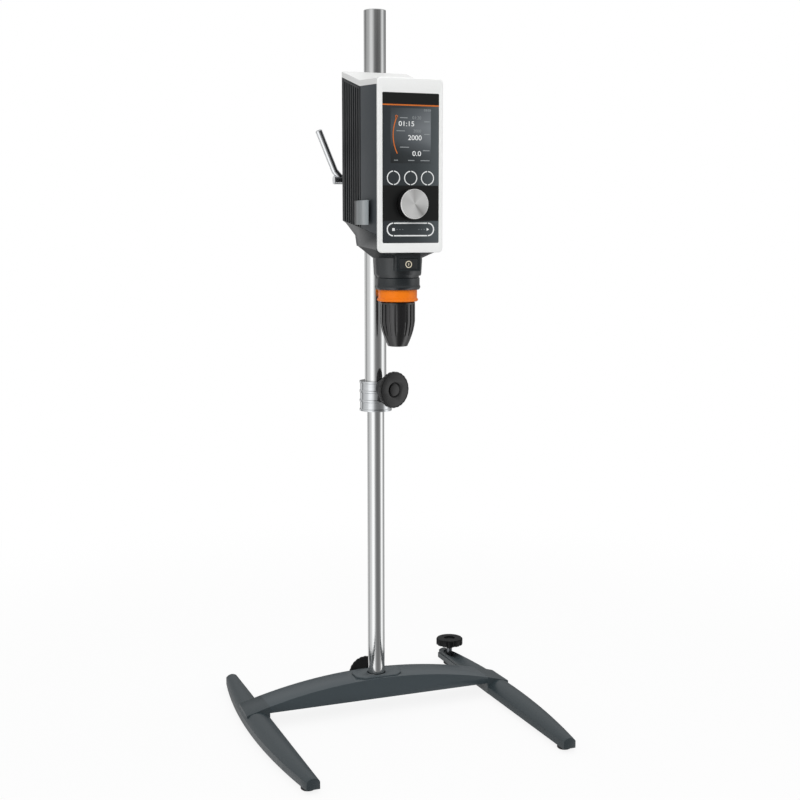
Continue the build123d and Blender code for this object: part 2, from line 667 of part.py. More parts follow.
def display():
    frame = rounded_xz(HEAD_X, HALF_W, FRAME_BOTTOM, FRAME_TOP, FRAME_FRONT, BODY_FRONT, FRAME_CORNER)
    frame = fillet(frame.edges().group_by(Axis.Y)[0], FRAME_EDGE)
    half = PANEL_W / 2
    frame -= rounded_xz(PANEL_MID_X, half, PANEL_BOTTOM, PANEL_TOP, FRAME_FRONT - 1, GLASS_BACK, 1.5)
    frame -= box(PANEL_MID_X - half + PANEL_LEDGE, PANEL_MID_X + half - PANEL_LEDGE, FRAME_FRONT,
                 BODY_FRONT + 1, PANEL_BOTTOM + PANEL_LEDGE, PANEL_TOP - PANEL_LEDGE)
    save("display_frame", frame)

    hole = rod_between((PANEL_MID_X, FRAME_FRONT - 5, SPEED_Z), (PANEL_MID_X, BOARD_BACK + 20, SPEED_Z),
                       ENCODER_R + GAP)
    glass = rounded_xz(PANEL_MID_X, half, PANEL_BOTTOM, PANEL_TOP, GLASS_FRONT, GLASS_BACK, 1.5)
    save("display_glass", glass - hole)

    half = SCREEN_W / 2 + SCREEN_BORDER
    save("display_module", box(PANEL_MID_X - half, PANEL_MID_X + half, GLASS_BACK, MODULE_BACK,
                               SCREEN_BOTTOM - SCREEN_BORDER, SCREEN_TOP + SCREEN_BORDER))
    half = PANEL_W / 2 - BOARD_MARGIN
    board = box(PANEL_MID_X - half, PANEL_MID_X + half, MODULE_BACK, BOARD_BACK,
                SPEED_Z - ENCODER_BODY / 2, PANEL_TOP - BOARD_MARGIN)
    save("display_board", board - hole)


def speed_control():
    back = FRAME_FRONT - SPEED_STAND_OFF
    front = back - SPEED_L
    axis = Plane(origin=(PANEL_MID_X, 0, SPEED_Z), x_dir=(1, 0, 0), z_dir=(0, -1, 0))
    knob = turned([(0, -back), (SPEED_R, -back), (SPEED_R, -back + 2), (SPEED_FRONT_R + 0.4, -front - 0.8),
                   (SPEED_FRONT_R - 0.4, -front), (0, -front)])
    knob -= post(SPEED_FACE_R, -front - SPEED_FACE_T, -front + 1)
    knob -= post(ENCODER_R, -back - 1, -back + SPEED_L - 3)
    save("speed_knob", axis * knob)
    save("speed_knob_face", axis * post(SPEED_FACE_R, -front - SPEED_FACE_T, -front))

    body_back = BOARD_BACK + ENCODER_BODY_L
    half = ENCODER_BODY / 2
    body = box(PANEL_MID_X - half, PANEL_MID_X + half, BOARD_BACK, body_back, SPEED_Z - half, SPEED_Z + half)
    bore = rod_between((PANEL_MID_X, BOARD_BACK - 1, SPEED_Z), (PANEL_MID_X, body_back - 1, SPEED_Z),
                       ENCODER_R + RUN)
    save("encoder", body - bore)
    plunger = BOARD_BACK + 3
    save("encoder_shaft", axis * post(ENCODER_R, -plunger, -back + SPEED_L - 3))
    save("encoder_plunger", axis * post(ENCODER_R, -plunger - PLUNGER_L, -plunger))


def side_tab():
    """Curved cover on the left wall: seated at its rear end, standing proud at its front edge."""
    rear = HEAD_BACK - TAB_BACK
    front = rear - TAB_LENGTH
    wall = HEAD_X - half_width(rear)
    dip = rear - 0.22 * TAB_LENGTH
    shoulder = rear - 0.5 * TAB_LENGTH
    z = TAB_BOTTOM
    out = Spline((wall - TAB_T, rear, z), (wall - TAB_T * 0.8, dip, z),
                 (wall - TAB_T - TAB_LIFT * 0.62, shoulder, z), (wall - TAB_T - TAB_LIFT, front, z))
    edge = Line((wall - TAB_T - TAB_LIFT, front, z), (wall - TAB_LIFT, front, z))
    under = Spline((wall - TAB_LIFT, front, z), (wall - TAB_LIFT * 0.55, shoulder, z),
                   (HEAD_X - half_width(dip + 2), dip + 2, z))
    seat = Line((HEAD_X - half_width(dip + 2), dip + 2, z), (wall, rear, z))
    close = Line((wall, rear, z), (wall - TAB_T, rear, z))
    face = make_face([out, edge, under, seat, close])
    save("side_tab", push(face, TAB_H, Vector(0, 0, 1)))


# ------------------------------------------------------------------ lower housing, neck and rings
def lower_cavity(points, crease, depth):
    """The room inside the band and the funnel, open upwards and closed by the neck below."""
    front, rear = points[0][0] + WALL, points[2][0] - 3 * WALL
    turn_y, turn_z = points[3]
    crease_y, crease_z = points[4]
    side = [(front, seam(front)), (rear, seam(rear)), (turn_y, turn_z + WALL + 2),
            (crease_y - WALL, crease_z), (front, points[5][1])]
    half = HALF_W - WALL
    room = prism_x(side, HEAD_X - half, HEAD_X + half)
    upper = crease * RectangleRounded(2 * half, depth - 2 * WALL, 3.0)
    low = Plane(origin=(HEAD_X, SPINDLE_Y, FUNNEL_BOTTOM + WALL))
    lower = low * RectangleRounded(2 * (FUNNEL_HALF - WALL - 2), 2 * (FUNNEL_HALF - WALL - 2),
                                   FUNNEL_CORNER - WALL - 2)
    return room + loft([upper, lower])


def lower_housing():
    crease_front = seam(BODY_FRONT) - CREASE_DROP
    turn_y = HEAD_BACK - UNDER_Y
    crease_turn = seam(turn_y - 5) - CREASE_REAR_DROP
    points = [(BODY_FRONT, seam(BODY_FRONT)), (HEAD_BACK, SEAM_BACK),
              (HEAD_BACK - 13, SEAM_BACK - UNDER_BACK_DROP), (turn_y, UNDER_Z),
              (turn_y - 5, crease_turn), (BODY_FRONT, crease_front)]
    band = prism_x(points, HEAD_X - HEAD_W, HEAD_X + HEAD_W) & plan_block(BODY_FRONT, HEAD_BACK)
    slope = degrees(atan2(crease_turn - crease_front, turn_y - 5 - BODY_FRONT))
    mid_y, mid_z = (BODY_FRONT + turn_y - 5) / 2, (crease_front + crease_turn) / 2
    depth = (turn_y - 5 - BODY_FRONT) / cos(radians(slope))
    top = Plane(origin=(HEAD_X, mid_y, mid_z), x_dir=(1, 0, 0)).rotated((slope, 0, 0))
    upper = top * RectangleRounded(HEAD_W, depth, 3.0)
    low = Plane(origin=(HEAD_X, SPINDLE_Y, FUNNEL_BOTTOM))
    lower = low * RectangleRounded(2 * FUNNEL_HALF, 2 * FUNNEL_HALF, FUNNEL_CORNER)
    body = band + loft([upper, lower])
    body -= lower_cavity(points, top, depth)
    body += turned([(0, FUNNEL_BOTTOM + 8), (NECK_R, FUNNEL_BOTTOM + 8), (NECK_R, FUNNEL_BOTTOM - 4),
                    (NECK_R_LOW, NECK_BOTTOM + 2), (NECK_R_LOW - 0.8, NECK_BOTTOM),
                    (NECK_GROOVE_R, NECK_BOTTOM), (NECK_GROOVE_R, RING_TOP), (0, RING_TOP)],
                   HEAD_X, SPINDLE_Y)
    block_front = SPINDLE_Y - BLOCK_REACH
    body += box(HEAD_X - BLOCK_W / 2, HEAD_X + BLOCK_W / 2, block_front, SPINDLE_Y - NECK_R / 2,
                BLOCK_BOTTOM, BLOCK_TOP + 6)
    mid = (BLOCK_TOP + BLOCK_BOTTOM) / 2
    room = BUTTON_T + BUTTON_TRAVEL_ROOM
    body -= box(HEAD_X - BUTTON_W / 2 - GAP, HEAD_X + BUTTON_W / 2 + GAP, block_front - 1,
                block_front + room, mid - BUTTON_H / 2 - GAP, mid + BUTTON_H / 2 + GAP)
    body -= post(BEARING_R, RING_TOP - 1, LOW_BEARING_Z + BEARING_H, HEAD_X, SPINDLE_Y)
    body -= spindle_hole(BEARING_R - 4)
    save("lower_housing", body)
    save("power_button", fillet(box(HEAD_X - BUTTON_W / 2, HEAD_X + BUTTON_W / 2, block_front - 0.6,
                                    block_front - 0.6 + BUTTON_T, mid - BUTTON_H / 2,
                                    mid + BUTTON_H / 2).edges().group_by(Axis.Y)[0], 0.8))

    cup_r = LOCK_R + RUN
    roof_z = RING_TOP - RING_ROOF_T
    mid_z = RING_BOTTOM + 3
    save("lower_ring", turned([(BEARING_R, RING_TOP), (BEARING_R, roof_z), (cup_r, roof_z),
                               (cup_r, RING_BOTTOM), (RING_R - 1, RING_BOTTOM),
                               (RING_R + RING_BULGE, mid_z), (RING_R - 0.4, mid_z + 3),
                               (RING_R - 0.4, RING_TOP - 1), (RING_R - 1.4, RING_TOP)],
                              HEAD_X, SPINDLE_Y))
    bore = LOCK_R - LOCK_WALL
    lip = LOCK_BOTTOM + LOCK_LIP_H
    save("lock_ring", turned([(bore, LOCK_BOTTOM), (LOCK_R, LOCK_BOTTOM), (LOCK_LIP_R, LOCK_BOTTOM + 1.6),
                              (LOCK_LIP_R - 0.2, lip - 0.8), (LOCK_R, lip + 0.8), (LOCK_R, LOCK_TOP),
                              (bore, LOCK_TOP)], HEAD_X, SPINDLE_Y))


# ------------------------------------------------------------------ chuck
def sleeve_outline(inset=0.0):
    """Outer half profile of the sleeve from its top down to the tip, as (radius, z) points."""
    points = [(SLEEVE_R - inset, SLEEVE_TOP - 1), (SLEEVE_R - inset, SLEEVE_STRAIGHT)]
    drop = SLEEVE_STRAIGHT - SLEEVE_TIP
    steps = 5
    for i in range(1, steps + 1):
        t = i / steps
        r = SLEEVE_R - (SLEEVE_R - SLEEVE_TIP_R) * (0.35 * t + 0.65 * t * t)
        points.append((r - inset * (1 - t * t), SLEEVE_STRAIGHT - drop * t))
    return points


def sleeve_solid(inset):
    nose = CHUCK_NOSE_R + RUN
    core = CHUCK_CORE_R + RUN
    shoulder = CHUCK_STEP - RUN
    points = [(core, SLEEVE_TOP), (SLEEVE_R - 1 - inset, SLEEVE_TOP)] + sleeve_outline(inset)
    points += [(nose, SLEEVE_TIP), (nose, shoulder), (core, shoulder)]
    return turned(points, HEAD_X, SPINDLE_Y)


def jaw_points(play=0.0):
    lean = tan(radians(JAW_ANGLE))
    top = JAW_BOTTOM + JAW_H
    foot = JAW_INNER + JAW_FOOT + play
    if play:
        low = SLEEVE_TIP + CHUCK_NOSE_RING
        return [(0, low), (foot - (JAW_BOTTOM - low) * lean, low), (foot + (JAW_H + 1) * lean, top + 1),
                (0, top + 1)]
    return [(JAW_INNER, JAW_BOTTOM), (foot, JAW_BOTTOM), (foot + JAW_H * lean, top), (JAW_INNER, top)]


def jaw_bar(points, width):
    face = make_face(Polyline(*[(r, -width / 2, z) for r, z in points], close=True))
    return push(face, width, Vector(0, 1, 0))


def chuck():
    ribs = Pos(HEAD_X, SPINDLE_Y, 0) * star(SLEEVE_R + 1, SLEEVE_R - CHUCK_CORE_R + 1, SLEEVE_RIBS,
                                            FLUTE_BOTTOM, SLEEVE_TOP - SLEEVE_LAND, 1 - FLUTE_SHARE)
    bands = (post(SLEEVE_R + 1, SLEEVE_TIP - 1, FLUTE_BOTTOM, HEAD_X, SPINDLE_Y)
             + post(SLEEVE_R + 1, SLEEVE_TOP - SLEEVE_LAND, SLEEVE_TOP + 1, HEAD_X, SPINDLE_Y))
    full = sleeve_solid(0)
    save("chuck_sleeve", sleeve_solid(SLEEVE_RIB_DEPTH) + (full & ribs) + (full & bands))

    body = turned([(CHUCK_BORE_R, SLEEVE_TIP - 0.5), (CHUCK_NOSE_R, SLEEVE_TIP - 0.5),
                   (CHUCK_NOSE_R, CHUCK_STEP), (CHUCK_CORE_R, CHUCK_STEP), (CHUCK_CORE_R, CHUCK_TOP - 2),
                   (CHUCK_CORE_R - 2, CHUCK_TOP), (CHUCK_BORE_R, CHUCK_TOP)])
    for i in range(3):
        body -= Rot(0, 0, 120 * i) * jaw_bar(jaw_points(RUN), JAW_W + 2 * RUN)
        save(f"chuck_jaw_{i + 1}", Pos(HEAD_X, SPINDLE_Y, 0) * Rot(0, 0, 120 * i)
             * jaw_bar(jaw_points(), JAW_W))
    save("chuck_body", Pos(HEAD_X, SPINDLE_Y, 0) * body)


# ------------------------------------------------------------------ drive
def gear(teeth, bore, phase, x, y):
    """A spur gear with straight-flanked teeth; phase turns it, in tooth pitches."""
    pitch_r = GEAR_MODULE * teeth / 2
    tip, root = pitch_r + GEAR_MODULE, pitch_r - 1.25 * GEAR_MODULE
    quarter = pi / (2 * teeth)
    play = TOOTH_PLAY / pitch_r
    points = []
    for i in range(teeth):
        a = 2 * pi * (i + phase) / teeth
        for r, off in ((root, -1.55), (tip, -0.45), (tip, 0.45), (root, 1.55)):
            turn = a + off * quarter - (play if off > 0 else -play) / 2
            points.append((x + r * cos(turn), y + r * sin(turn)))
    return prism_z(points, GEAR_BOTTOM, GEAR_BOTTOM + GEAR_T) - post(bore, GEAR_BOTTOM - 1,
                                                                 GEAR_BOTTOM + GEAR_T + 1, x, y)


def drive():
    x = HEAD_X
    ring = post(BEARING_R, 0, BEARING_H) - post(SPINDLE_R + RUN, -1, BEARING_H + 1)
    save("bearings", Compound(children=[Pos(x, SPINDLE_Y, LOW_BEARING_Z) * ring,
                                        Pos(x, SPINDLE_Y, BRACKET_BOTTOM) * ring]))
    spindle = post(SPINDLE_R, CHUCK_TOP, BRACKET_TOP + 3, x, SPINDLE_Y)
    spindle += post(SPINDLE_R + 2, CHUCK_TOP, LOW_BEARING_Z - GAP, x, SPINDLE_Y)
    save("spindle", spindle)
    # a tooth of the spindle gear points at the motor, and a gap of the pinion faces it
    save("spindle_gear", gear(SPINDLE_TEETH, SPINDLE_R, SPINDLE_TEETH / 4, x, SPINDLE_Y))
    save("motor_pinion", gear(PINION_TEETH, MOTOR_SHAFT_R, -PINION_TEETH / 4 + 0.5, x, MOTOR_Y))

    inner = HALF_W - WALL
    bracket = box(x - inner, x + inner, BOARD_BACK + ENCODER_BODY_L + 2, HEAD_BACK - WALL, BRACKET_BOTTOM,
                  BRACKET_TOP)
    bracket -= post(BEARING_R, BRACKET_BOTTOM - 1, BRACKET_TOP + 1, x, SPINDLE_Y)
    bracket -= post(MOTOR_SHAFT_R + 2, BRACKET_BOTTOM - 1, BRACKET_TOP + 1, x, MOTOR_Y)
    save("bearing_bracket", bracket)

    top = BRACKET_TOP + MOTOR_H
    can = post(MOTOR_R, BRACKET_TOP, top, x, MOTOR_Y)
    can -= post(MOTOR_R - MOTOR_WALL, BRACKET_TOP + MOTOR_WALL, top - MOTOR_WALL, x, MOTOR_Y)
    can -= post(MOTOR_SHAFT_R + RUN, BRACKET_TOP - 1, top + 1, x, MOTOR_Y)
    save("motor_can", can)
    low, high = BRACKET_TOP + MOTOR_WALL + 6, top - MOTOR_WALL - 6
    stator = post(MOTOR_R - MOTOR_WALL, low, high, x, MOTOR_Y)
    save("motor_stator", stator - post(ROTOR_R + AIR_GAP, low - 1, high + 1, x, MOTOR_Y))
    rotor = post(ROTOR_R, low + 1, high - 1, x, MOTOR_Y) - post(MOTOR_SHAFT_R, low, high, x, MOTOR_Y)
    save("motor_rotor", rotor)
    save("motor_shaft", post(MOTOR_SHAFT_R, GEAR_BOTTOM, top + 2, x, MOTOR_Y))

    board_x = x + inner - 7
    save("control_board", box(board_x, board_x + BOARD_T, BOARD_BACK + ENCODER_BODY_L + 4, SPLIT_Y + 8,
                              BRACKET_TOP, BRACKET_TOP + CONTROL_BOARD_H))


# ------------------------------------------------------------------ head clamp, lever and inlet
def head_clamp():
    low, high = CLAMP_BOTTOM, CLAMP_TOP
    block = post(CLAMP_R, low, high, 0, COLUMN_Y) + box(-CLAMP_R, CLAMP_R, HEAD_BACK, COLUMN_Y, low, high)
    block &= box(-CLAMP_R, CLAMP_R, HEAD_BACK, COLUMN_Y + CLAMP_R, low, high)
    block = chamfer(block.edges().group_by(Axis.Z)[-1] + block.edges().group_by(Axis.Z)[0], 1.5)
    block += rod_between((-CLAMP_R + 6, COLUMN_Y, LEVER_Z), (-LEVER_BOSS_REACH, COLUMN_Y, LEVER_Z),
                         LEVER_BOSS_R)
    block -= post(TUBE_R + RUN, low - 1, high + 1, 0, COLUMN_Y)
    block -= rod_between((0, COLUMN_Y, LEVER_Z), (-LEVER_BOSS_REACH - 1, COLUMN_Y, LEVER_Z),
                         LEVER_SCREW_R + RUN)
    save("head_clamp", block)

    pad_at = TUBE_R + SEAT
    pad_end = pad_at + THRUST_PAD_L
    save("lever_pad", rod_between((-pad_at, COLUMN_Y, LEVER_Z), (-pad_end, COLUMN_Y, LEVER_Z),
                                  LEVER_SCREW_R))
    screw = rod_between((-pad_end, COLUMN_Y, LEVER_Z), (-LEVER_HEAD_END, COLUMN_Y, LEVER_Z), LEVER_SCREW_R)
    screw += rod_between((-LEVER_BOSS_REACH - GAP, COLUMN_Y, LEVER_Z), (-LEVER_HEAD_END, COLUMN_Y, LEVER_Z),
                         LEVER_HEAD_R)
    root, knee, tip = [(-out, COLUMN_Y, LEVER_Z + up) for out, up in (LEVER_ROOT, LEVER_KNEE, LEVER_TIP)]
    arm = rod_between(knee, tip, LEVER_ROD_R)
    arm = chamfer(arm.edges().sort_by(Axis.Z)[-1], LEVER_TIP_BEVEL)
    arm += rod_between(root, knee, LEVER_ROD_R)
    arm += Pos(*knee) * Sphere(LEVER_ROD_R) + Pos(*root) * Sphere(LEVER_ROD_R)
    save("clamp_lever", screw + arm)


def power_inlet():
    x = INLET_X
    back = HEAD_BACK
    body = box(x - INLET_W / 2, x + INLET_W / 2, back - INLET_L, back, INLET_Z - INLET_H / 2,
               INLET_Z + INLET_H / 2)
    half_w, half_h = INLET_W / 2 + INLET_FLANGE, INLET_H / 2 + INLET_FLANGE
    body += box(x - half_w, x + half_w, back, back + INLET_FLANGE_T, INLET_Z - half_h, INLET_Z + half_h)
    mouth = back + INLET_FLANGE_T
    body -= box(x - SOCKET_W / 2, x + SOCKET_W / 2, mouth - SOCKET_DEPTH, mouth + 1,
                INLET_Z - SOCKET_H / 2, INLET_Z + SOCKET_H / 2)
    floor = mouth - SOCKET_DEPTH
    for dx, dz in ((-6.5, -1.5), (0, 2.0), (6.5, -1.5)):
        body -= box(x + dx - PIN_T / 2, x + dx + PIN_T / 2, floor - 2, floor + 1, INLET_Z + dz - PIN_W / 2,
                    INLET_Z + dz + PIN_W / 2)
    save("power_inlet", body)
    pins = [box(x + dx - PIN_T / 2, x + dx + PIN_T / 2, floor - 2, floor + PIN_L, INLET_Z + dz - PIN_W / 2,
                INLET_Z + dz + PIN_W / 2) for dx, dz in ((-6.5, -1.5), (0, 2.0), (6.5, -1.5))]
    save("inlet_pins", Compound(children=pins))


stand()
base_clamp()
levelling_foot()
telescope()
head_shells()
display()
speed_control()
side_tab()
lower_housing()
chuck()
drive()
head_clamp()
power_inlet()
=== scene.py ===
import json
import math

import bmesh
import bpy
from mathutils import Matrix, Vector

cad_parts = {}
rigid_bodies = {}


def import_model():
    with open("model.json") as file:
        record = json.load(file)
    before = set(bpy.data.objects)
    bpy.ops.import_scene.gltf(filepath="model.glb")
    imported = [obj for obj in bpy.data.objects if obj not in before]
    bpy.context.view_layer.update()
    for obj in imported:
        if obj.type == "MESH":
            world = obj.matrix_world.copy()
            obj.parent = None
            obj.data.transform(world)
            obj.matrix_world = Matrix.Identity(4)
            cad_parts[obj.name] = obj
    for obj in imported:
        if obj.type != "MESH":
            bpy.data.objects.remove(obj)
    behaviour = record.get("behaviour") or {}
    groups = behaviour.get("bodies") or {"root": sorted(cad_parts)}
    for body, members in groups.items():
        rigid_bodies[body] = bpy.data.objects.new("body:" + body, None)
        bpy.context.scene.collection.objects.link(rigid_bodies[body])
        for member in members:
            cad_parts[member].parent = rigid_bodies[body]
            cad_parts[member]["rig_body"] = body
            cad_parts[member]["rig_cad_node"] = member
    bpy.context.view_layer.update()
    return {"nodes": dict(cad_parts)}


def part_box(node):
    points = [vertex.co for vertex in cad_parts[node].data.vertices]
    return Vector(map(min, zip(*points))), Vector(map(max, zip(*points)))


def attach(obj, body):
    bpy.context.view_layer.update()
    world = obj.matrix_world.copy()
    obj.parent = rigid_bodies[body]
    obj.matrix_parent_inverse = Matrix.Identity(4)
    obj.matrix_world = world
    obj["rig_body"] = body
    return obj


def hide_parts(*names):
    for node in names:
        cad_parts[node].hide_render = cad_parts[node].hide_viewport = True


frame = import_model()
nodes = frame["nodes"]
print("frame loaded:", len(nodes), "solids")


# small helpers: colours, nodes, selection

def hexToLinear(code):
    values = [int(code[i:i + 2], 16) / 255 for i in (1, 3, 5)]
    linear = [v / 12.92 if v <= 0.04045 else ((v + 0.055) / 1.055) ** 2.4 for v in values]
    return tuple(linear) + (1.0,)


def addNode(tree, kind, settings=None, inputs=None):
    node = tree.nodes.new(kind)
    for key, value in (settings or {}).items():
        setattr(node, key, value)
    for key, value in (inputs or {}).items():
        if isinstance(value, bpy.types.NodeSocket):
            tree.links.new(value, node.inputs[key])
        else:
            node.inputs[key].default_value = value
    return node


def startMaterial(name):
    material = bpy.data.materials.new(name)
    material.use_nodes = True
    tree = material.node_tree
    tree.nodes.clear()
    shader = addNode(tree, "ShaderNodeBsdfPrincipled")
    output = addNode(tree, "ShaderNodeOutputMaterial", inputs={"Surface": shader.outputs["BSDF"]})
    output.location = (400, 0)
    place = addNode(tree, "ShaderNodeTexCoord").outputs["Object"]
    return material, tree, shader, place


def setRamp(ramp, stops):
    elements = ramp.color_ramp.elements
    while len(elements) > 1:
        elements.remove(elements[-1])
    elements[0].position, elements[0].color = stops[0]
    for position, colour in stops[1:]:
        elements.new(position).color = colour


def deselectAll():
    if bpy.context.object and bpy.context.object.mode != "OBJECT":
        bpy.ops.object.mode_set(mode="OBJECT")
    bpy.ops.object.select_all(action="DESELECT")


def pick(piece):
    deselectAll()
    piece.select_set(True)
    bpy.context.view_layer.objects.active = piece


def settle(piece, name, material, body):
    # the piece's place goes into its mesh, and it rides on its body
    pick(piece)
    bpy.ops.object.transform_apply(location=True, rotation=True, scale=True)
    piece.name = name
    piece.data.name = name
    piece.data.materials.clear()
    piece.data.materials.append(material)
    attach(piece, body)
    return piece


# materials

grainDepth = 0.0002      # height of moulded grain
markDepth = 0.00005      # height of drawing and cutting marks
glossSpread = 0.06       # how far the marks move the roughness either way


def mouldedPlastic(name, values):
    # injection-moulded ABS: even colour, faint spark-eroded grain that softens the gloss
    material, tree, shader, place = startMaterial(name)
    grain = addNode(tree, "ShaderNodeTexNoise", inputs={
        "Vector": place, "Scale": 1 / values["grain"], "Detail": 3.0})
    tint = addNode(tree, "ShaderNodeMix", {"data_type": "RGBA"},
                   {"Factor": grain.outputs["Fac"], "A": hexToLinear(values["colour"]),
                    "B": hexToLinear(values["colourHigh"])})
    tree.links.new(tint.outputs["Result"], shader.inputs["Base Color"])
    bump = addNode(tree, "ShaderNodeBump", inputs={
        "Height": grain.outputs["Fac"], "Strength": values["bump"], "Distance": grainDepth})
    tree.links.new(bump.outputs["Normal"], shader.inputs["Normal"])
    shader.inputs["Roughness"].default_value = values["roughness"]
    shader.inputs["Specular IOR Level"].default_value = values.get("gloss", 0.5)
    shader.inputs["IOR"].default_value = 1.5
    return material


def brushedMetal(name, values):
    # drawn or turned metal: fine marks along one direction stretch the reflections across it
    material, tree, shader, place = startMaterial(name)
    stretch = addNode(tree, "ShaderNodeMapping",
                      inputs={"Vector": place, "Scale": values["stretch"]})
    marks = addNode(tree, "ShaderNodeTexNoise", inputs={"Vector": stretch.outputs["Vector"],
                                                        "Scale": 1.0, "Detail": 4.0})
    spread = addNode(tree, "ShaderNodeMapRange",
                     inputs={"Value": marks.outputs["Fac"],
                             "To Min": values["roughness"] - glossSpread,
                             "To Max": values["roughness"] + glossSpread})
    tree.links.new(spread.outputs["Result"], shader.inputs["Roughness"])
    tint = addNode(tree, "ShaderNodeMix", {"data_type": "RGBA"},
                   {"Factor": marks.outputs["Fac"], "A": hexToLinear(values["colour"]),
                    "B": hexToLinear(values["colourHigh"])})
    tree.links.new(tint.outputs["Result"], shader.inputs["Base Color"])
    bump = addNode(tree, "ShaderNodeBump", inputs={
        "Height": marks.outputs["Fac"], "Strength": values["bump"], "Distance": markDepth})
    tree.links.new(bump.outputs["Normal"], shader.inputs["Normal"])
    shader.inputs["Metallic"].default_value = 1.0
    return material


stainlessSteel = brushedMetal("drawnStainlessSteel", {
    "colour": "#c2c3c3", "colourHigh": "#d2d3d3", "roughness": 0.11, "bump": 0.05,
    "stretch": (900.0, 900.0, 14.0)})   # draw marks 1 mm apart, drawn long up the tube
machinedSteel = brushedMetal("turnedSteel", {
    "colour": "#909396", "colourHigh": "#a7aaad", "roughness": 0.3, "bump": 0.1,
    "stretch": (500.0, 500.0, 500.0)})
gearSteel = brushedMetal("blackenedGearSteel", {
    "colour": "#5b5d60", "colourHigh": "#6d7073", "roughness": 0.38, "bump": 0.1,
    "stretch": (500.0, 500.0, 500.0)})
collarAluminium = brushedMetal("turnedAluminium", {
    "colour": "#b4b7b9", "colourHigh": "#cbcdcf", "roughness": 0.11, "bump": 0.05,
    "stretch": (40.0, 40.0, 1800.0)})   # lathe rings about half a millimetre apart
leverChrome = brushedMetal("polishedLeverSteel", {
    "colour": "#cfd1d3", "colourHigh": "#dcdee0", "roughness": 0.28, "bump": 0.03,
    "stretch": (400.0, 400.0, 60.0)})
bushBronze = brushedMetal("bearingBronze", {
    "colour": "#a98450", "colourHigh": "#b8935c", "roughness": 0.34, "bump": 0.1,
    "stretch": (300.0, 300.0, 900.0)})
padBrass = brushedMetal("turnedBrass", {
    "colour": "#b08d4f", "colourHigh": "#c19d5d", "roughness": 0.3, "bump": 0.1,
    "stretch": (500.0, 500.0, 500.0)})

standPaint = mouldedPlastic("powderCoatedStandSteel", {
    "colour": "#363f43", "colourHigh": "#3c454a", "roughness": 0.36, "bump": 0.22, "grain": 0.0011})
legPaint = mouldedPlastic("powderCoatedLegCasting", {
    "colour": "#293236", "colourHigh": "#2f383c", "roughness": 0.4, "bump": 0.2, "grain": 0.0011})
capLacquer = mouldedPlastic("whiteCapAbs", {
    "colour": "#d9dad9", "colourHigh": "#dededd", "roughness": 0.34, "bump": 0.04, "grain": 0.002})
shellPaint = mouldedPlastic("structuredShellPaint", {
    "colour": "#32373b", "colourHigh": "#3b4044", "roughness": 0.45, "bump": 0.35, "grain": 0.0007,
    "gloss": 0.22})
# the front shell's structured paint made darker: painted shade for the fin grooves, also used on
# the head clamp
finShadedPaint = mouldedPlastic("finnedShellPaintedShade", {
    "colour": "#181a1c", "colourHigh": "#1d2022", "roughness": 0.42, "bump": 0.3, "grain": 0.0007,
    "gloss": 0.25})
lowerPaint = mouldedPlastic("lowerHousingPaint", {
    "colour": "#0f1619", "colourHigh": "#141b1f", "roughness": 0.26, "bump": 0.15, "grain": 0.0009,
    "gloss": 0.62})
whiteLacquer = mouldedPlastic("whiteGlossAbs", {
    "colour": "#ecedec", "colourHigh": "#f0f1f0", "roughness": 0.3, "bump": 0.04, "grain": 0.002})
knobPlastic = mouldedPlastic("glassFilledNylonBlack", {
    "colour": "#0a0a0b", "colourHigh": "#101011", "roughness": 0.36, "bump": 0.3, "grain": 0.0006})
# the same black nylon as the other knobs, made darker and duller: painted shade for the knobs under
# the beam
footKnobShadedPlastic = mouldedPlastic("levellingKnobNylonPaintedShade", {
    "colour": "#060708", "colourHigh": "#0b0c0e", "roughness": 0.5, "bump": 0.2, "grain": 0.0006,
    "gloss": 0.2})
blackPlastic = mouldedPlastic("mouldedBlackPlastic", {
    "colour": "#1c1d1e", "colourHigh": "#232425", "roughness": 0.5, "bump": 0.2, "grain": 0.0006})
footRubber = mouldedPlastic("footRubber", {
    "colour": "#1b1c1d", "colourHigh": "#222324", "roughness": 0.8, "bump": 0.4, "grain": 0.0005})
orangePlastic = mouldedPlastic("orangeLockPlastic", {
    "colour": "#f17805", "colourHigh": "#f6800a", "roughness": 0.3, "bump": 0.06, "grain": 0.0009,
    "gloss": 0.25})
chuckPlastic = mouldedPlastic("chuckSleevePlastic", {
    "colour": "#080709", "colourHigh": "#0d0c0e", "roughness": 0.15, "bump": 0.1, "grain": 0.0006,
    "gloss": 0.7})
buttonPlastic = mouldedPlastic("powerButtonPlastic", {
    "colour": "#1d2022", "colourHigh": "#232628", "roughness": 0.4, "bump": 0.1, "grain": 0.0006})
panelBlack = mouldedPlastic("printedBlackBand", {
    "colour": "#0d0e0e", "colourHigh": "#101111", "roughness": 0.3, "bump": 0.0, "grain": 0.002})
printWhite = mouldedPlastic("printedWhiteInk", {
    "colour": "#e6e8e8", "colourHigh": "#eef0f0", "roughness": 0.5, "bump": 0.0, "grain": 0.002})
printGrey = mouldedPlastic("printedGreyInk", {
    "colour": "#8b9092", "colourHigh": "#969b9d", "roughness": 0.5, "bump": 0.0, "grain": 0.002})
printCream = mouldedPlastic("printedCreamInk", {
    "colour": "#d8cdb4", "colourHigh": "#e2d8c1", "roughness": 0.5, "bump": 0.0, "grain": 0.002})
printOrange = mouldedPlastic("printedOrangeInk", {
    "colour": "#c8651a", "colourHigh": "#d26d20", "roughness": 0.4, "bump": 0.0, "grain": 0.002})
circuitGreen = mouldedPlastic("solderMaskGreen", {
    "colour": "#1e5a38", "colourHigh": "#226440", "roughness": 0.35, "bump": 0.05, "grain": 0.001})
statorSteel = mouldedPlastic("laminatedMotorSteel", {
    "colour": "#6b5a4b", "colourHigh": "#7b6857", "roughness": 0.5, "bump": 0.3, "grain": 0.001})


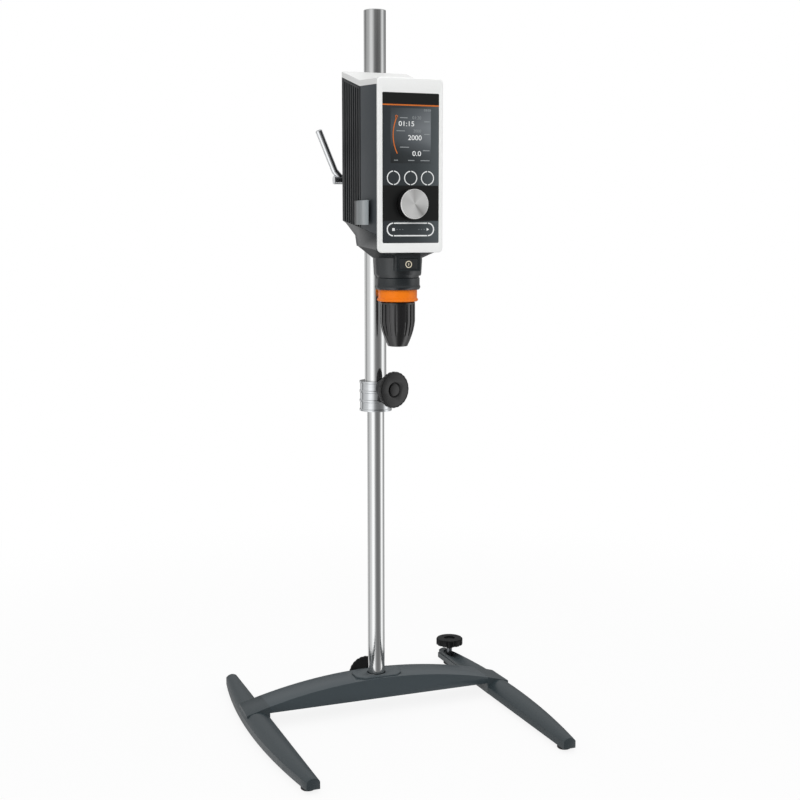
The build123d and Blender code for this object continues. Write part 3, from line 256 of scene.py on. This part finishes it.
def gradientPanel(name, values):
    # panel: a smooth grey that lightens across and up, under a clear hard coat; on the side tab
    # this is painted shade at the rear and a painted highlight towards the front
    material, tree, shader, place = startMaterial(name)
    parts = addNode(tree, "ShaderNodeSeparateXYZ", inputs={"Vector": place})
    across = addNode(tree, "ShaderNodeMapRange",
                     inputs={"Value": parts.outputs[values.get("along", "X")],
                             "From Min": values["left"], "From Max": values["right"]})
    upwards = addNode(tree, "ShaderNodeMapRange",
                      inputs={"Value": parts.outputs["Z"], "From Min": values["bottom"],
                              "From Max": values["top"]})
    profile = addNode(tree, "ShaderNodeValToRGB", inputs={"Fac": upwards.outputs["Result"]})
    setRamp(profile, [(p, (v, v, v, 1.0)) for p, v in values["profile"]])
    both = addNode(tree, "ShaderNodeMath", {"operation": "MULTIPLY_ADD"},
                   {0: across.outputs["Result"], 1: values.get("share", 1.0),
                    2: profile.outputs["Color"]})
    ramp = addNode(tree, "ShaderNodeValToRGB", inputs={"Fac": both.outputs["Value"]})
    setRamp(ramp, [(p, hexToLinear(c)) for p, c in values["stops"]])
    tree.links.new(ramp.outputs["Color"], shader.inputs["Base Color"])
    shader.inputs["Roughness"].default_value = values["roughness"]
    shader.inputs["Coat Weight"].default_value = 0.3
    return material


# painted shade on the tab's rear half and a painted highlight on its front half, laid along Y
tabPaintedShadePlastic = gradientPanel("tabGreyPaintedShade", {
    "along": "Y", "left": -0.012, "right": -0.052, "bottom": 0.6, "top": 0.8,
    "profile": ((0.0, 0.0),),
    "stops": ((0.0, "#1d2022"), (0.34, "#25282a"), (0.54, "#60676a"), (0.75, "#7c8385"),
              (1.0, "#90979a")), "roughness": 0.35})
windowPrint = gradientPanel("backPrintedWindow", {
    "left": -0.0457, "right": 0.0288, "bottom": 0.6458, "top": 0.8272, "profile": ((0.0, 0.0),),
    "stops": ((0.0, "#262b2f"), (0.6, "#31373a"), (1.0, "#4c5255")), "roughness": 0.3})
screenPrint = gradientPanel("litScreen", {
    "left": -0.0347, "right": 0.0182, "bottom": 0.7427, "top": 0.8088, "share": 0.45,
    "profile": ((0.0, 0.0), (0.15, 0.08), (0.4, 0.4), (0.65, 0.55), (1.0, 0.33)),
    "stops": ((0.0, "#14181a"), (0.3, "#2a2f32"), (0.65, "#4f5458"), (1.0, "#777c80")),
    "roughness": 0.35})


def spunFace(name, values):
    # spun aluminium: fine ring marks go into the bump; the light and dark wedges from the centre
    # are painted reflection in the base colour
    material, tree, shader, place = startMaterial(name)
    shift = addNode(tree, "ShaderNodeMapping", inputs={
        "Vector": place, "Location": (-values["centreX"], 0.0, -values["centreZ"])})
    parts = addNode(tree, "ShaderNodeSeparateXYZ", inputs={"Vector": shift.outputs["Vector"]})
    angle = addNode(tree, "ShaderNodeMath", {"operation": "ARCTAN2"},
                    {0: parts.outputs["Z"], 1: parts.outputs["X"]})
    turn = addNode(tree, "ShaderNodeMapRange", inputs={
        "Value": angle.outputs["Value"], "From Min": -math.pi, "From Max": math.pi})
    paintedReflectionWedges = addNode(tree, "ShaderNodeValToRGB", inputs={"Fac": turn.outputs["Result"]})
    setRamp(paintedReflectionWedges, [(p, hexToLinear(c)) for p, c in values["paintedReflectionWedges"]])
    tree.links.new(paintedReflectionWedges.outputs["Color"], shader.inputs["Base Color"])
    radius = addNode(tree, "ShaderNodeVectorMath", {"operation": "LENGTH"},
                     {0: shift.outputs["Vector"]})
    rings = addNode(tree, "ShaderNodeTexNoise", {"noise_dimensions": "1D"},
                    {"W": radius.outputs["Value"], "Scale": 1 / values["ringPitch"], "Detail": 2.0})
    bump = addNode(tree, "ShaderNodeBump", inputs={
        "Height": rings.outputs["Fac"], "Strength": 0.08, "Distance": markDepth})
    tree.links.new(bump.outputs["Normal"], shader.inputs["Normal"])
    shader.inputs["Metallic"].default_value = 0.75
    shader.inputs["Roughness"].default_value = 0.42
    return material


dialFacePaintedReflection = spunFace("spunDialAluminiumPaintedReflection", {
    "centreX": -0.00825, "centreZ": 0.6933, "ringPitch": 0.0004,
    "paintedReflectionWedges": ((0.0, "#e6e6e5"), (0.08, "#eeeeed"), (0.2, "#f2f2f1"), (0.3, "#e4e4e3"),
               (0.36, "#a9a8a7"), (0.41, "#cbcbca"), (0.5, "#e8e8e7"), (0.62, "#f0f0ef"),
               (0.7, "#dadad9"), (0.76, "#cccbca"), (0.84, "#f0f0ef"), (0.92, "#e2e2e1"),
               (1.0, "#e6e6e5"))})
print("materials made")


# CAD pieces: a merged copy with softened edges stands for each solid in the dressing table; the
# rest keep their mesh and get a finish

mergeReach = 0.000002    # corners closer than this are one
flatAngle = 0.4          # degrees: faces that differ less are joined
softenAngle = 40         # degrees: sharper edges are softened


def dress(name, material, edge=0.0, smooth=35, segments=2):
    source = nodes[name]
    body = source["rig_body"]
    copy = source.copy()
    copy.data = source.data.copy()
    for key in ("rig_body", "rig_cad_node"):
        if key in copy:
            del copy[key]
    copy.parent = None
    bpy.context.scene.collection.objects.link(copy)
    pick(copy)
    bpy.ops.object.mode_set(mode="EDIT")
    bpy.ops.mesh.select_all(action="SELECT")
    bpy.ops.mesh.remove_doubles(threshold=mergeReach)
    bpy.ops.mesh.customdata_custom_splitnormals_clear()
    bpy.ops.mesh.dissolve_limited(angle_limit=math.radians(flatAngle))
    bpy.ops.object.mode_set(mode="OBJECT")
    if edge:
        soften = copy.modifiers.new("softEdges", "BEVEL")
        soften.width = edge
        soften.segments = segments
        soften.limit_method = "ANGLE"
        soften.angle_limit = math.radians(softenAngle)
        soften.harden_normals = False
        bpy.ops.object.modifier_apply(modifier="softEdges")
    bpy.ops.object.shade_smooth_by_angle(angle=math.radians(smooth))
    settle(copy, name + "Finished", material, body)
    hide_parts(name)
    return copy


dressing = {
    "left_leg": (legPaint, 0.0008, 30), "right_leg": (legPaint, 0.0008, 30),
    "cross_beam": (standPaint, 0.0007, 30), "socket_plate": (standPaint, 0.0004, 30),
    "inner_rod": (stainlessSteel, 0.0, 35), "outer_tube": (stainlessSteel, 0.0, 35),
    "tube_plug": (stainlessSteel, 0.0, 35), "clamp_collar": (collarAluminium, 0.0002, 20),
    "collar_bush": (blackPlastic, 0.0004, 35), "collar_clamp_knob": (knobPlastic, 0.0004, 30),
    "base_clamp_knob": (footKnobShadedPlastic, 0.0004, 30), "base_clamp_screw": (machinedSteel, 0.0, 35),
    "levelling_knob": (footKnobShadedPlastic, 0.0005, 30), "levelling_screw": (gearSteel, 0.0, 35),
    "rear_shell": (finShadedPaint, 0.0003, 30), "front_shell": (shellPaint, 0.0005, 30),
    "top_cap": (capLacquer, 0.0, 35), "display_frame": (whiteLacquer, 0.0003, 35),
    "lower_housing": (lowerPaint, 0.0006, 32), "lower_ring": (lowerPaint, 0.0003, 35),
    "lock_ring": (orangePlastic, 0.0003, 35), "chuck_sleeve": (chuckPlastic, 0.0003, 32),
    "power_button": (buttonPlastic, 0.0, 35), "speed_knob": (knobPlastic, 0.0003, 35),
    "speed_knob_face": (dialFacePaintedReflection, 0.0, 35), "side_tab": (tabPaintedShadePlastic, 0.0003, 35),
    "head_clamp": (finShadedPaint, 0.0005, 35), "clamp_lever": (leverChrome, 0.0, 40),
    "power_inlet": (blackPlastic, 0.0003, 30),
}
for nodeName, (finish, edge, smooth) in dressing.items():
    dress(nodeName, finish, edge, smooth)

# the knob's front land is turned metal like its face, with the same painted reflection wedges
speedKnob = bpy.data.objects["speed_knobFinished"]
speedKnob.data.materials.append(dialFacePaintedReflection)
for face in speedKnob.data.polygons:
    if face.normal.y < -0.6:
        face.material_index = 1

carriedOver = {
    "beam_screws": machinedSteel, "rubber_feet": footRubber, "foot_insert": padBrass,
    "base_clamp_pad": padBrass, "levelling_pad": footRubber, "guide_bush": bushBronze,
    "collar_clamp_pad": padBrass, "collar_clamp_screw": machinedSteel, "display_glass": windowPrint,
    "display_module": blackPlastic, "display_board": circuitGreen, "encoder": blackPlastic,
    "encoder_shaft": machinedSteel, "encoder_plunger": blackPlastic, "chuck_body": gearSteel,
    "chuck_jaw_1": machinedSteel, "chuck_jaw_2": machinedSteel, "chuck_jaw_3": machinedSteel,
    "spindle": machinedSteel, "bearings": machinedSteel, "spindle_gear": gearSteel,
    "motor_pinion": gearSteel, "bearing_bracket": collarAluminium, "motor_can": machinedSteel,
    "motor_stator": statorSteel, "motor_rotor": gearSteel, "motor_shaft": machinedSteel,
    "control_board": circuitGreen, "lever_pad": padBrass, "inlet_pins": padBrass,
}
for nodeName, finish in carriedOver.items():
    nodes[nodeName].data.materials.clear()
    nodes[nodeName].data.materials.append(finish)
print("solids dressed")


# display prints: thin layers on the window

windowFront = -0.1006    # front face of the display window
layer = 0.00012          # thickness of one printed layer
sink = 0.00001           # how far a print reaches into the window
captionHalf = 0.0005     # half the height of a caption bar
rowDotHalf = 0.0004      # half the side of a dot in the start and stop bar


def printPatch(name, left, right, bottom, top, material, depth=1):
    deselectAll()
    bpy.ops.mesh.primitive_cube_add(size=1, location=(
        (left + right) / 2, windowFront - layer * (depth - 0.5) + sink, (bottom + top) / 2))
    patch = bpy.context.object
    patch.scale = (right - left, layer, top - bottom)
    return settle(patch, name, material, "head")


def flatArc(name, values, material, body="head"):
    # a round stroke: a circle is extruded inwards, and what lies in the gaps is deleted
    deselectAll()
    bpy.ops.mesh.primitive_circle_add(vertices=values.get("corners", 72), radius=values["radius"],
                                      location=(0, 0, 0), rotation=(math.pi / 2, 0, 0))
    arc = bpy.context.object
    bpy.ops.object.transform_apply(location=False, rotation=True, scale=False)
    bpy.ops.object.mode_set(mode="EDIT")
    bpy.ops.mesh.select_all(action="SELECT")
    bpy.ops.mesh.extrude_edges_move()
    inner = (values["radius"] - values["stroke"]) / values["radius"]
    bpy.ops.transform.resize(value=(inner, 1, inner), center_override=(0, 0, 0))
    mesh = bmesh.from_edit_mesh(arc.data)
    for face in mesh.faces:
        centre = face.calc_center_median()
        turn = math.degrees(math.atan2(centre.z, centre.x)) % 360
        face.select_set(any(a <= turn <= b for a, b in values["gaps"]))
    bmesh.update_edit_mesh(arc.data)
    if any(face.select for face in mesh.faces):
        bpy.ops.mesh.delete(type="FACE")
    bpy.ops.mesh.select_all(action="SELECT")
    bpy.ops.mesh.extrude_region_move(TRANSFORM_OT_translate={"value": (0, -layer, 0)})
    bpy.ops.mesh.select_all(action="SELECT")
    bpy.ops.mesh.normals_make_consistent(inside=False)
    bpy.ops.object.mode_set(mode="OBJECT")
    arc.location = values["centre"]
    return settle(arc, name, material, body)


def printText(name, words, values, material):
    deselectAll()
    bpy.ops.object.text_add(location=(0, 0, 0), rotation=(math.pi / 2, 0, 0))
    piece = bpy.context.object
    piece.data.body = words
    piece.data.size = 0.01
    piece.data.extrude = layer / 2 / 10
    piece.data.offset = values.get("weight", 0.0)
    pick(piece)
    bpy.ops.object.convert(target="MESH")
    piece = bpy.context.object
    bpy.ops.object.transform_apply(location=True, rotation=True, scale=True)
    low = [min(v.co[i] for v in piece.data.vertices) for i in range(3)]
    high = [max(v.co[i] for v in piece.data.vertices) for i in range(3)]
    wide = (values["right"] - values["left"]) / (high[0] - low[0])
    tall = (values["top"] - values["bottom"]) / (high[2] - low[2])
    deep = layer / max(high[1] - low[1], 1e-6)
    piece.scale = (wide, deep, tall)
    piece.location = (values["left"] - low[0] * wide, windowFront - layer * 3 - low[1] * deep,
                      values["bottom"] - low[2] * tall)
    return settle(piece, name, material, "head")


windowLayout = {
    "left": -0.0455, "right": 0.0290, "top": 0.8272, "bottom": 0.6458,
    "lineTop": 0.8133, "lineBottom": 0.8117, "bandTop": 0.7158, "bandBottom": 0.6730,
    "screenLeft": -0.0347, "screenRight": 0.0182, "screenTop": 0.8088, "screenBottom": 0.7427}
w = windowLayout
printPatch("headerBand", w["left"], w["right"], w["lineTop"], w["top"] - 0.0002, panelBlack)
printPatch("headerLine", w["left"], w["right"], w["lineBottom"], w["lineTop"], printOrange)
printPatch("dialBand", w["left"], w["right"], w["bandBottom"], w["bandTop"], panelBlack)
printPatch("screenArea", w["screenLeft"], w["screenRight"], w["screenBottom"], w["screenTop"],
           screenPrint)

keyRings = {"radius": 0.00865, "stroke": 0.0012, "z": 0.7250,
            "columns": (-0.0310, -0.0084, 0.0139), "gaps": ((83, 97), (263, 277))}
for index, x in enumerate(keyRings["columns"]):
    flatArc(f"keyRing{index + 1}", {"radius": keyRings["radius"], "stroke": keyRings["stroke"],
                                    "gaps": keyRings["gaps"],
                                    "centre": (x, windowFront, keyRings["z"])}, printWhite)

digits = {
    "timeNow": ("01:15", -0.0243, -0.0039, 0.7872, 0.7932),
    "speedNow": ("2000", -0.0120, 0.0059, 0.7706, 0.7766),
    "torqueNow": ("0.0", -0.0063, 0.0052, 0.7516, 0.7576)}
digitWeight = 0.00005    # large digits are a little bolder than the targets
for name, (words, left, right, bottom, top) in digits.items():
    printText(name, words, {"left": left, "right": right, "bottom": bottom, "top": top,
                            "weight": digitWeight}, printWhite)
targets = {
    "timeSet": ("01:20", -0.0063, 0.0052, 0.7957, 0.7994),
    "speedSet": ("2000", -0.0050, 0.0052, 0.7800, 0.7835),
    "clock": ("08:08", 0.0090, 0.0181, 0.8055, 0.8080)}
for name, (words, left, right, bottom, top) in targets.items():
    printText(name, words, {"left": left, "right": right, "bottom": bottom, "top": top}, printGrey)

# plain bars where captions would stand
captionBars = {
    "timeBar": (-0.0226, -0.0127, 0.7972), "speedBar": (-0.0272, -0.0161, 0.7815),
    "torqueBar": (-0.0226, -0.0107, 0.7620), "timeUnit": (0.0094, 0.0165, 0.7931),
    "speedUnit": (0.0094, 0.0165, 0.7780), "torqueUnit": (0.0076, 0.0165, 0.7583),
    "softKeyLeft": (-0.0304, -0.0253, 0.7462), "softKeyMiddle": (-0.0120, -0.0036, 0.7462),
    "softKeyRight": (0.0045, 0.0165, 0.7462)}
for name, (left, right, z) in captionBars.items():
    printPatch(name, left, right, z - captionHalf, z + captionHalf, printGrey, depth=3)

speedArc = {"radius": 0.0500, "stroke": 0.0012,
            "centre": (0.0179, windowFront - layer * 2, 0.7765),
            "gaps": ((0, 154.0), (206.5, 360)), "corners": 240}
flatArc("speedArc", speedArc, printOrange)
arcEnd = {"radius": 0.0017, "stroke": 0.0008, "centre": (-0.0272, windowFront - layer * 2, 0.7986),
          "gaps": (), "corners": 32}
flatArc("arcEnd", arcEnd, printOrange)

# start and stop bar: a stadium outline in four strokes
startStop = {"left": -0.0399, "right": 0.0230, "z": 0.6625, "height": 0.0168, "stroke": 0.0015,
             "gap": 0.0012}
nearMiddle = 0.0004      # only the two points on the middle line are closer to it


def stadiumOutline(name, values, material):
    radius = values["height"] / 2
    middle = (values["left"] + values["right"]) / 2
    half = (values["right"] - values["left"]) / 2 - radius
    deselectAll()
    bpy.ops.mesh.primitive_circle_add(vertices=64, radius=radius, fill_type="NGON",
                                      rotation=(math.pi / 2, 0, 0), location=(0, 0, 0))
    outline = bpy.context.object
    bpy.ops.object.transform_apply(location=False, rotation=True, scale=False)
    bpy.ops.object.mode_set(mode="EDIT")
    for side in (-1, 1):
        mesh = bmesh.from_edit_mesh(outline.data)
        for vertex in mesh.verts:
            vertex.select_set(vertex.co.x * side > nearMiddle)
        mesh.select_flush_mode()
        bpy.ops.transform.translate(value=(side * half, 0, 0))
    mesh = bmesh.from_edit_mesh(outline.data)
    for vertex in mesh.verts:    # the two points on the middle line go to the right arc
        vertex.select_set(abs(vertex.co.x) < nearMiddle)
    mesh.select_flush_mode()
    bpy.ops.transform.translate(value=(half, 0, 0))
    bpy.ops.mesh.select_all(action="SELECT")
    bpy.ops.mesh.inset(thickness=values["stroke"])
    bpy.ops.mesh.delete(type="FACE")
    for edge in (-half, -half + values["gap"], half - values["gap"], half):
        bpy.ops.mesh.select_all(action="SELECT")
        bpy.ops.mesh.bisect(plane_co=(edge, 0, 0), plane_no=(1, 0, 0))
    mesh = bmesh.from_edit_mesh(outline.data)
    for face in mesh.faces:
        x = abs(face.calc_center_median().x)
        face.select_set(half - values["gap"] < x < half)
    bmesh.update_edit_mesh(outline.data)
    bpy.ops.mesh.delete(type="FACE")
    bpy.ops.mesh.select_all(action="SELECT")
    bpy.ops.mesh.extrude_region_move(TRANSFORM_OT_translate={"value": (0, -layer, 0)})
    bpy.ops.mesh.select_all(action="SELECT")
    bpy.ops.mesh.normals_make_consistent(inside=False)
    bpy.ops.object.mode_set(mode="OBJECT")
    outline.location = (middle, windowFront, values["z"])
    return settle(outline, name, material, "head")


stadiumOutline("startStopOutline", startStop, printWhite)
stopX = -0.0310
stopHalf = 0.0017
printPatch("stopSquare", stopX - stopHalf, stopX + stopHalf, startStop["z"] - stopHalf,
           startStop["z"] + stopHalf, printWhite)
dotColumns = (-0.0263, -0.0226, -0.0188, 0.0026, 0.0061, 0.0097)
for index, x in enumerate(dotColumns):
    printPatch(f"rowDot{index + 1}", x - rowDotHalf, x + rowDotHalf,
               startStop["z"] - rowDotHalf, startStop["z"] + rowDotHalf, printGrey)


def printTriangle(name, values, material):
    deselectAll()
    bpy.ops.mesh.primitive_circle_add(vertices=3, radius=values["radius"], fill_type="NGON",
                                      rotation=(math.pi / 2, 0, 0), location=(0, 0, 0))
    arrow = bpy.context.object
    bpy.ops.object.transform_apply(location=False, rotation=True, scale=False)
    arrow.rotation_euler = (0, values["turn"], 0)
    bpy.ops.object.transform_apply(location=False, rotation=True, scale=False)
    bpy.ops.object.mode_set(mode="EDIT")
    bpy.ops.mesh.select_all(action="SELECT")
    bpy.ops.mesh.extrude_region_move(TRANSFORM_OT_translate={"value": (0, -layer, 0)})
    bpy.ops.mesh.select_all(action="SELECT")
    bpy.ops.mesh.normals_make_consistent(inside=False)
    bpy.ops.object.mode_set(mode="OBJECT")
    arrow.location = values["centre"]
    return settle(arrow, name, material, values["body"])


printTriangle("startTriangle", {"radius": 0.0022, "turn": math.radians(90), "body": "head",
                                "centre": (0.0140, windowFront, startStop["z"])}, printWhite)

# power symbol on the button: a ring with a short stroke
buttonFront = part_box("power_button")[0][1]
symbolSink = 0.00002     # how far the symbol reaches into the button
powerSymbol = {"radius": 0.0044, "stroke": 0.0011, "stemWide": 0.0009, "stemTall": 0.0030,
               "centre": (-0.0085, buttonFront + symbolSink, 0.6195)}
flatArc("powerRing", {"radius": powerSymbol["radius"], "stroke": powerSymbol["stroke"], "gaps": (),
                      "centre": powerSymbol["centre"], "corners": 48}, printCream, "power_key")
deselectAll()
bpy.ops.mesh.primitive_cube_add(size=1, location=(
    powerSymbol["centre"][0], buttonFront - layer / 2 + symbolSink, powerSymbol["centre"][2]))
stroke = bpy.context.object
stroke.scale = (powerSymbol["stemWide"], layer, powerSymbol["stemTall"])
settle(stroke, "powerStroke", printCream, "power_key")
print("prints made")


# stage: floor, lamps, world, camera

def paleFloor(values):
    deselectAll()
    bpy.ops.mesh.primitive_plane_add(size=values["size"], location=(0, 0, 0))
    floor = bpy.context.object
    floor.name = "paleFloor"
    material = bpy.data.materials.new("paleFloorSheet")
    material.use_nodes = True
    tree = material.node_tree
    tree.nodes.clear()
    rays = addNode(tree, "ShaderNodeLightPath")
    sheet = addNode(tree, "ShaderNodeBsdfDiffuse", inputs={"Color": hexToLinear(values["colour"])})
    glow = addNode(tree, "ShaderNodeEmission", inputs={"Color": (1, 1, 1, 1), "Strength": 1.0})
    place = addNode(tree, "ShaderNodeTexCoord").outputs["Object"]
    reach = addNode(tree, "ShaderNodeVectorMath", {"operation": "LENGTH"}, {0: place})
    paling = addNode(tree, "ShaderNodeMapRange", {"interpolation_type": "SMOOTHSTEP"}, {
        "Value": reach.outputs["Value"], "From Min": values["clearFrom"],
        "From Max": values["clearTo"], "To Min": values["whiteShare"], "To Max": 1.0})
    share = addNode(tree, "ShaderNodeMath", {"operation": "MULTIPLY"},
                    {0: rays.outputs["Is Camera Ray"], 1: paling.outputs["Result"]})
    both = addNode(tree, "ShaderNodeMixShader", inputs={0: share.outputs["Value"],
                                                       1: sheet.outputs["BSDF"],
                                                       2: glow.outputs["Emission"]})
    addNode(tree, "ShaderNodeOutputMaterial", inputs={"Surface": both.outputs["Shader"]})
    floor.data.materials.append(material)
    floor.visible_glossy = False
    return floor


paleFloor({"size": 14.0, "colour": "#e6e6e6", "whiteShare": 0.87, "clearFrom": 0.45,
           "clearTo": 1.3})


def softLamp(name, values):
    deselectAll()
    bpy.ops.object.light_add(type="AREA", location=values["place"])
    lamp = bpy.context.object
    lamp.name = name
    lamp.data.shape = "RECTANGLE"
    lamp.data.size, lamp.data.size_y = values["size"]
    lamp.data.energy = values["power"]
    aim = Vector(values["aim"]) - Vector(values["place"])
    lamp.rotation_euler = aim.to_track_quat("-Z", "Y").to_euler()
    lamp.visible_glossy = values["inReflections"]
    return lamp


softLamp("keySoftbox", {"place": (-1.2, -2.2, 2.2), "aim": (0, 0, 0.5), "size": (1.6, 1.6),
                        "power": 35, "inReflections": False})
softLamp("topSoftbox", {"place": (0.3, 0.2, 2.8), "aim": (0, 0, 0.4), "size": (2.0, 2.0),
                        "power": 30, "inReflections": False})


def studioWorld(values):
    # white to the eye; mirrors and metal see upright light and dark flags round the set
    world = bpy.data.worlds.new("studioWorld")
    bpy.context.scene.world = world
    world.use_nodes = True
    tree = world.node_tree
    tree.nodes.clear()
    rays = addNode(tree, "ShaderNodeLightPath")
    way = addNode(tree, "ShaderNodeTexCoord").outputs["Generated"]
    parts = addNode(tree, "ShaderNodeSeparateXYZ", inputs={"Vector": way})
    back = addNode(tree, "ShaderNodeMath", {"operation": "MULTIPLY"},
                   {0: parts.outputs["Y"], 1: -1.0})
    angle = addNode(tree, "ShaderNodeMath", {"operation": "ARCTAN2"},
                    {0: parts.outputs["X"], 1: back.outputs["Value"]})
    turn = addNode(tree, "ShaderNodeMapRange", inputs={
        "Value": angle.outputs["Value"], "From Min": -math.pi, "From Max": math.pi})
    flags = addNode(tree, "ShaderNodeValToRGB", inputs={"Fac": turn.outputs["Result"]})
    setRamp(flags, [((p + 180) / 360, (v, v, v, 1.0)) for p, v in values["flags"]])
    above = addNode(tree, "ShaderNodeMapRange", {"interpolation_type": "SMOOTHSTEP"}, {
        "Value": parts.outputs["Z"], "From Min": 0.18, "From Max": 0.42})
    dim = addNode(tree, "ShaderNodeMapRange", {"interpolation_type": "SMOOTHSTEP"}, {
        "Value": parts.outputs["Z"], "From Min": 0.07, "From Max": 0.17,
        "To Min": 1.0, "To Max": values["highShare"]})
    dimmed = addNode(tree, "ShaderNodeVectorMath", {"operation": "SCALE"},
                     {0: flags.outputs["Color"], "Scale": dim.outputs["Result"]})
    mirrored = addNode(tree, "ShaderNodeMix", {"data_type": "RGBA"},
                       {"Factor": above.outputs["Result"], "A": dimmed.outputs["Vector"],
                        "B": (values["overhead"],) * 3 + (1.0,)})
    soft = addNode(tree, "ShaderNodeMix", {"data_type": "RGBA"},
                   {"Factor": rays.outputs["Is Glossy Ray"], "A": (values["fill"],) * 3 + (1.0,),
                    "B": mirrored.outputs["Result"]})
    seen = addNode(tree, "ShaderNodeMix", {"data_type": "RGBA"},
                   {"Factor": rays.outputs["Is Camera Ray"], "A": soft.outputs["Result"],
                    "B": (1.0, 1.0, 1.0, 1.0)})
    sky = addNode(tree, "ShaderNodeBackground",
                  inputs={"Color": seen.outputs["Result"], "Strength": 1.0})
    addNode(tree, "ShaderNodeOutputWorld", inputs={"Surface": sky.outputs["Background"]})


# degrees round the set: 0 is in front of the display, positive to its right
studioWorld({"fill": 0.58, "overhead": 0.75, "highShare": 0.62, "flags": (
    (-180, 0.2), (-173, 0.25), (-167, 1.0), (-152, 1.0), (-143, 0.28), (-121, 0.8),
    (-100, 0.95), (-84, 1.1), (-70, 1.6), (-54, 1.7), (-40, 1.25), (-27, 0.5), (-12, 0.28),
    (8, 0.24), (34, 0.34), (42, 0.6), (52, 1.3), (66, 1.75), (76, 1.3), (90, 0.75), (118, 0.4),
    (150, 0.3), (180, 0.2))})

cameraView = {"lens": 60.39, "place": (-0.6324, -1.6450, 0.6710), "tilt": 82.464, "turn": -21.551}
bpy.ops.object.camera_add(location=cameraView["place"], rotation=(
    math.radians(cameraView["tilt"]), 0, math.radians(cameraView["turn"])))
camera = bpy.context.object
camera.data.sensor_width = 36
camera.data.lens = cameraView["lens"]
camera.data.clip_start = 0.05
camera.data.clip_end = 60
bpy.context.scene.camera = camera
bpy.context.scene.view_settings.view_transform = "Standard"
print("stage set")
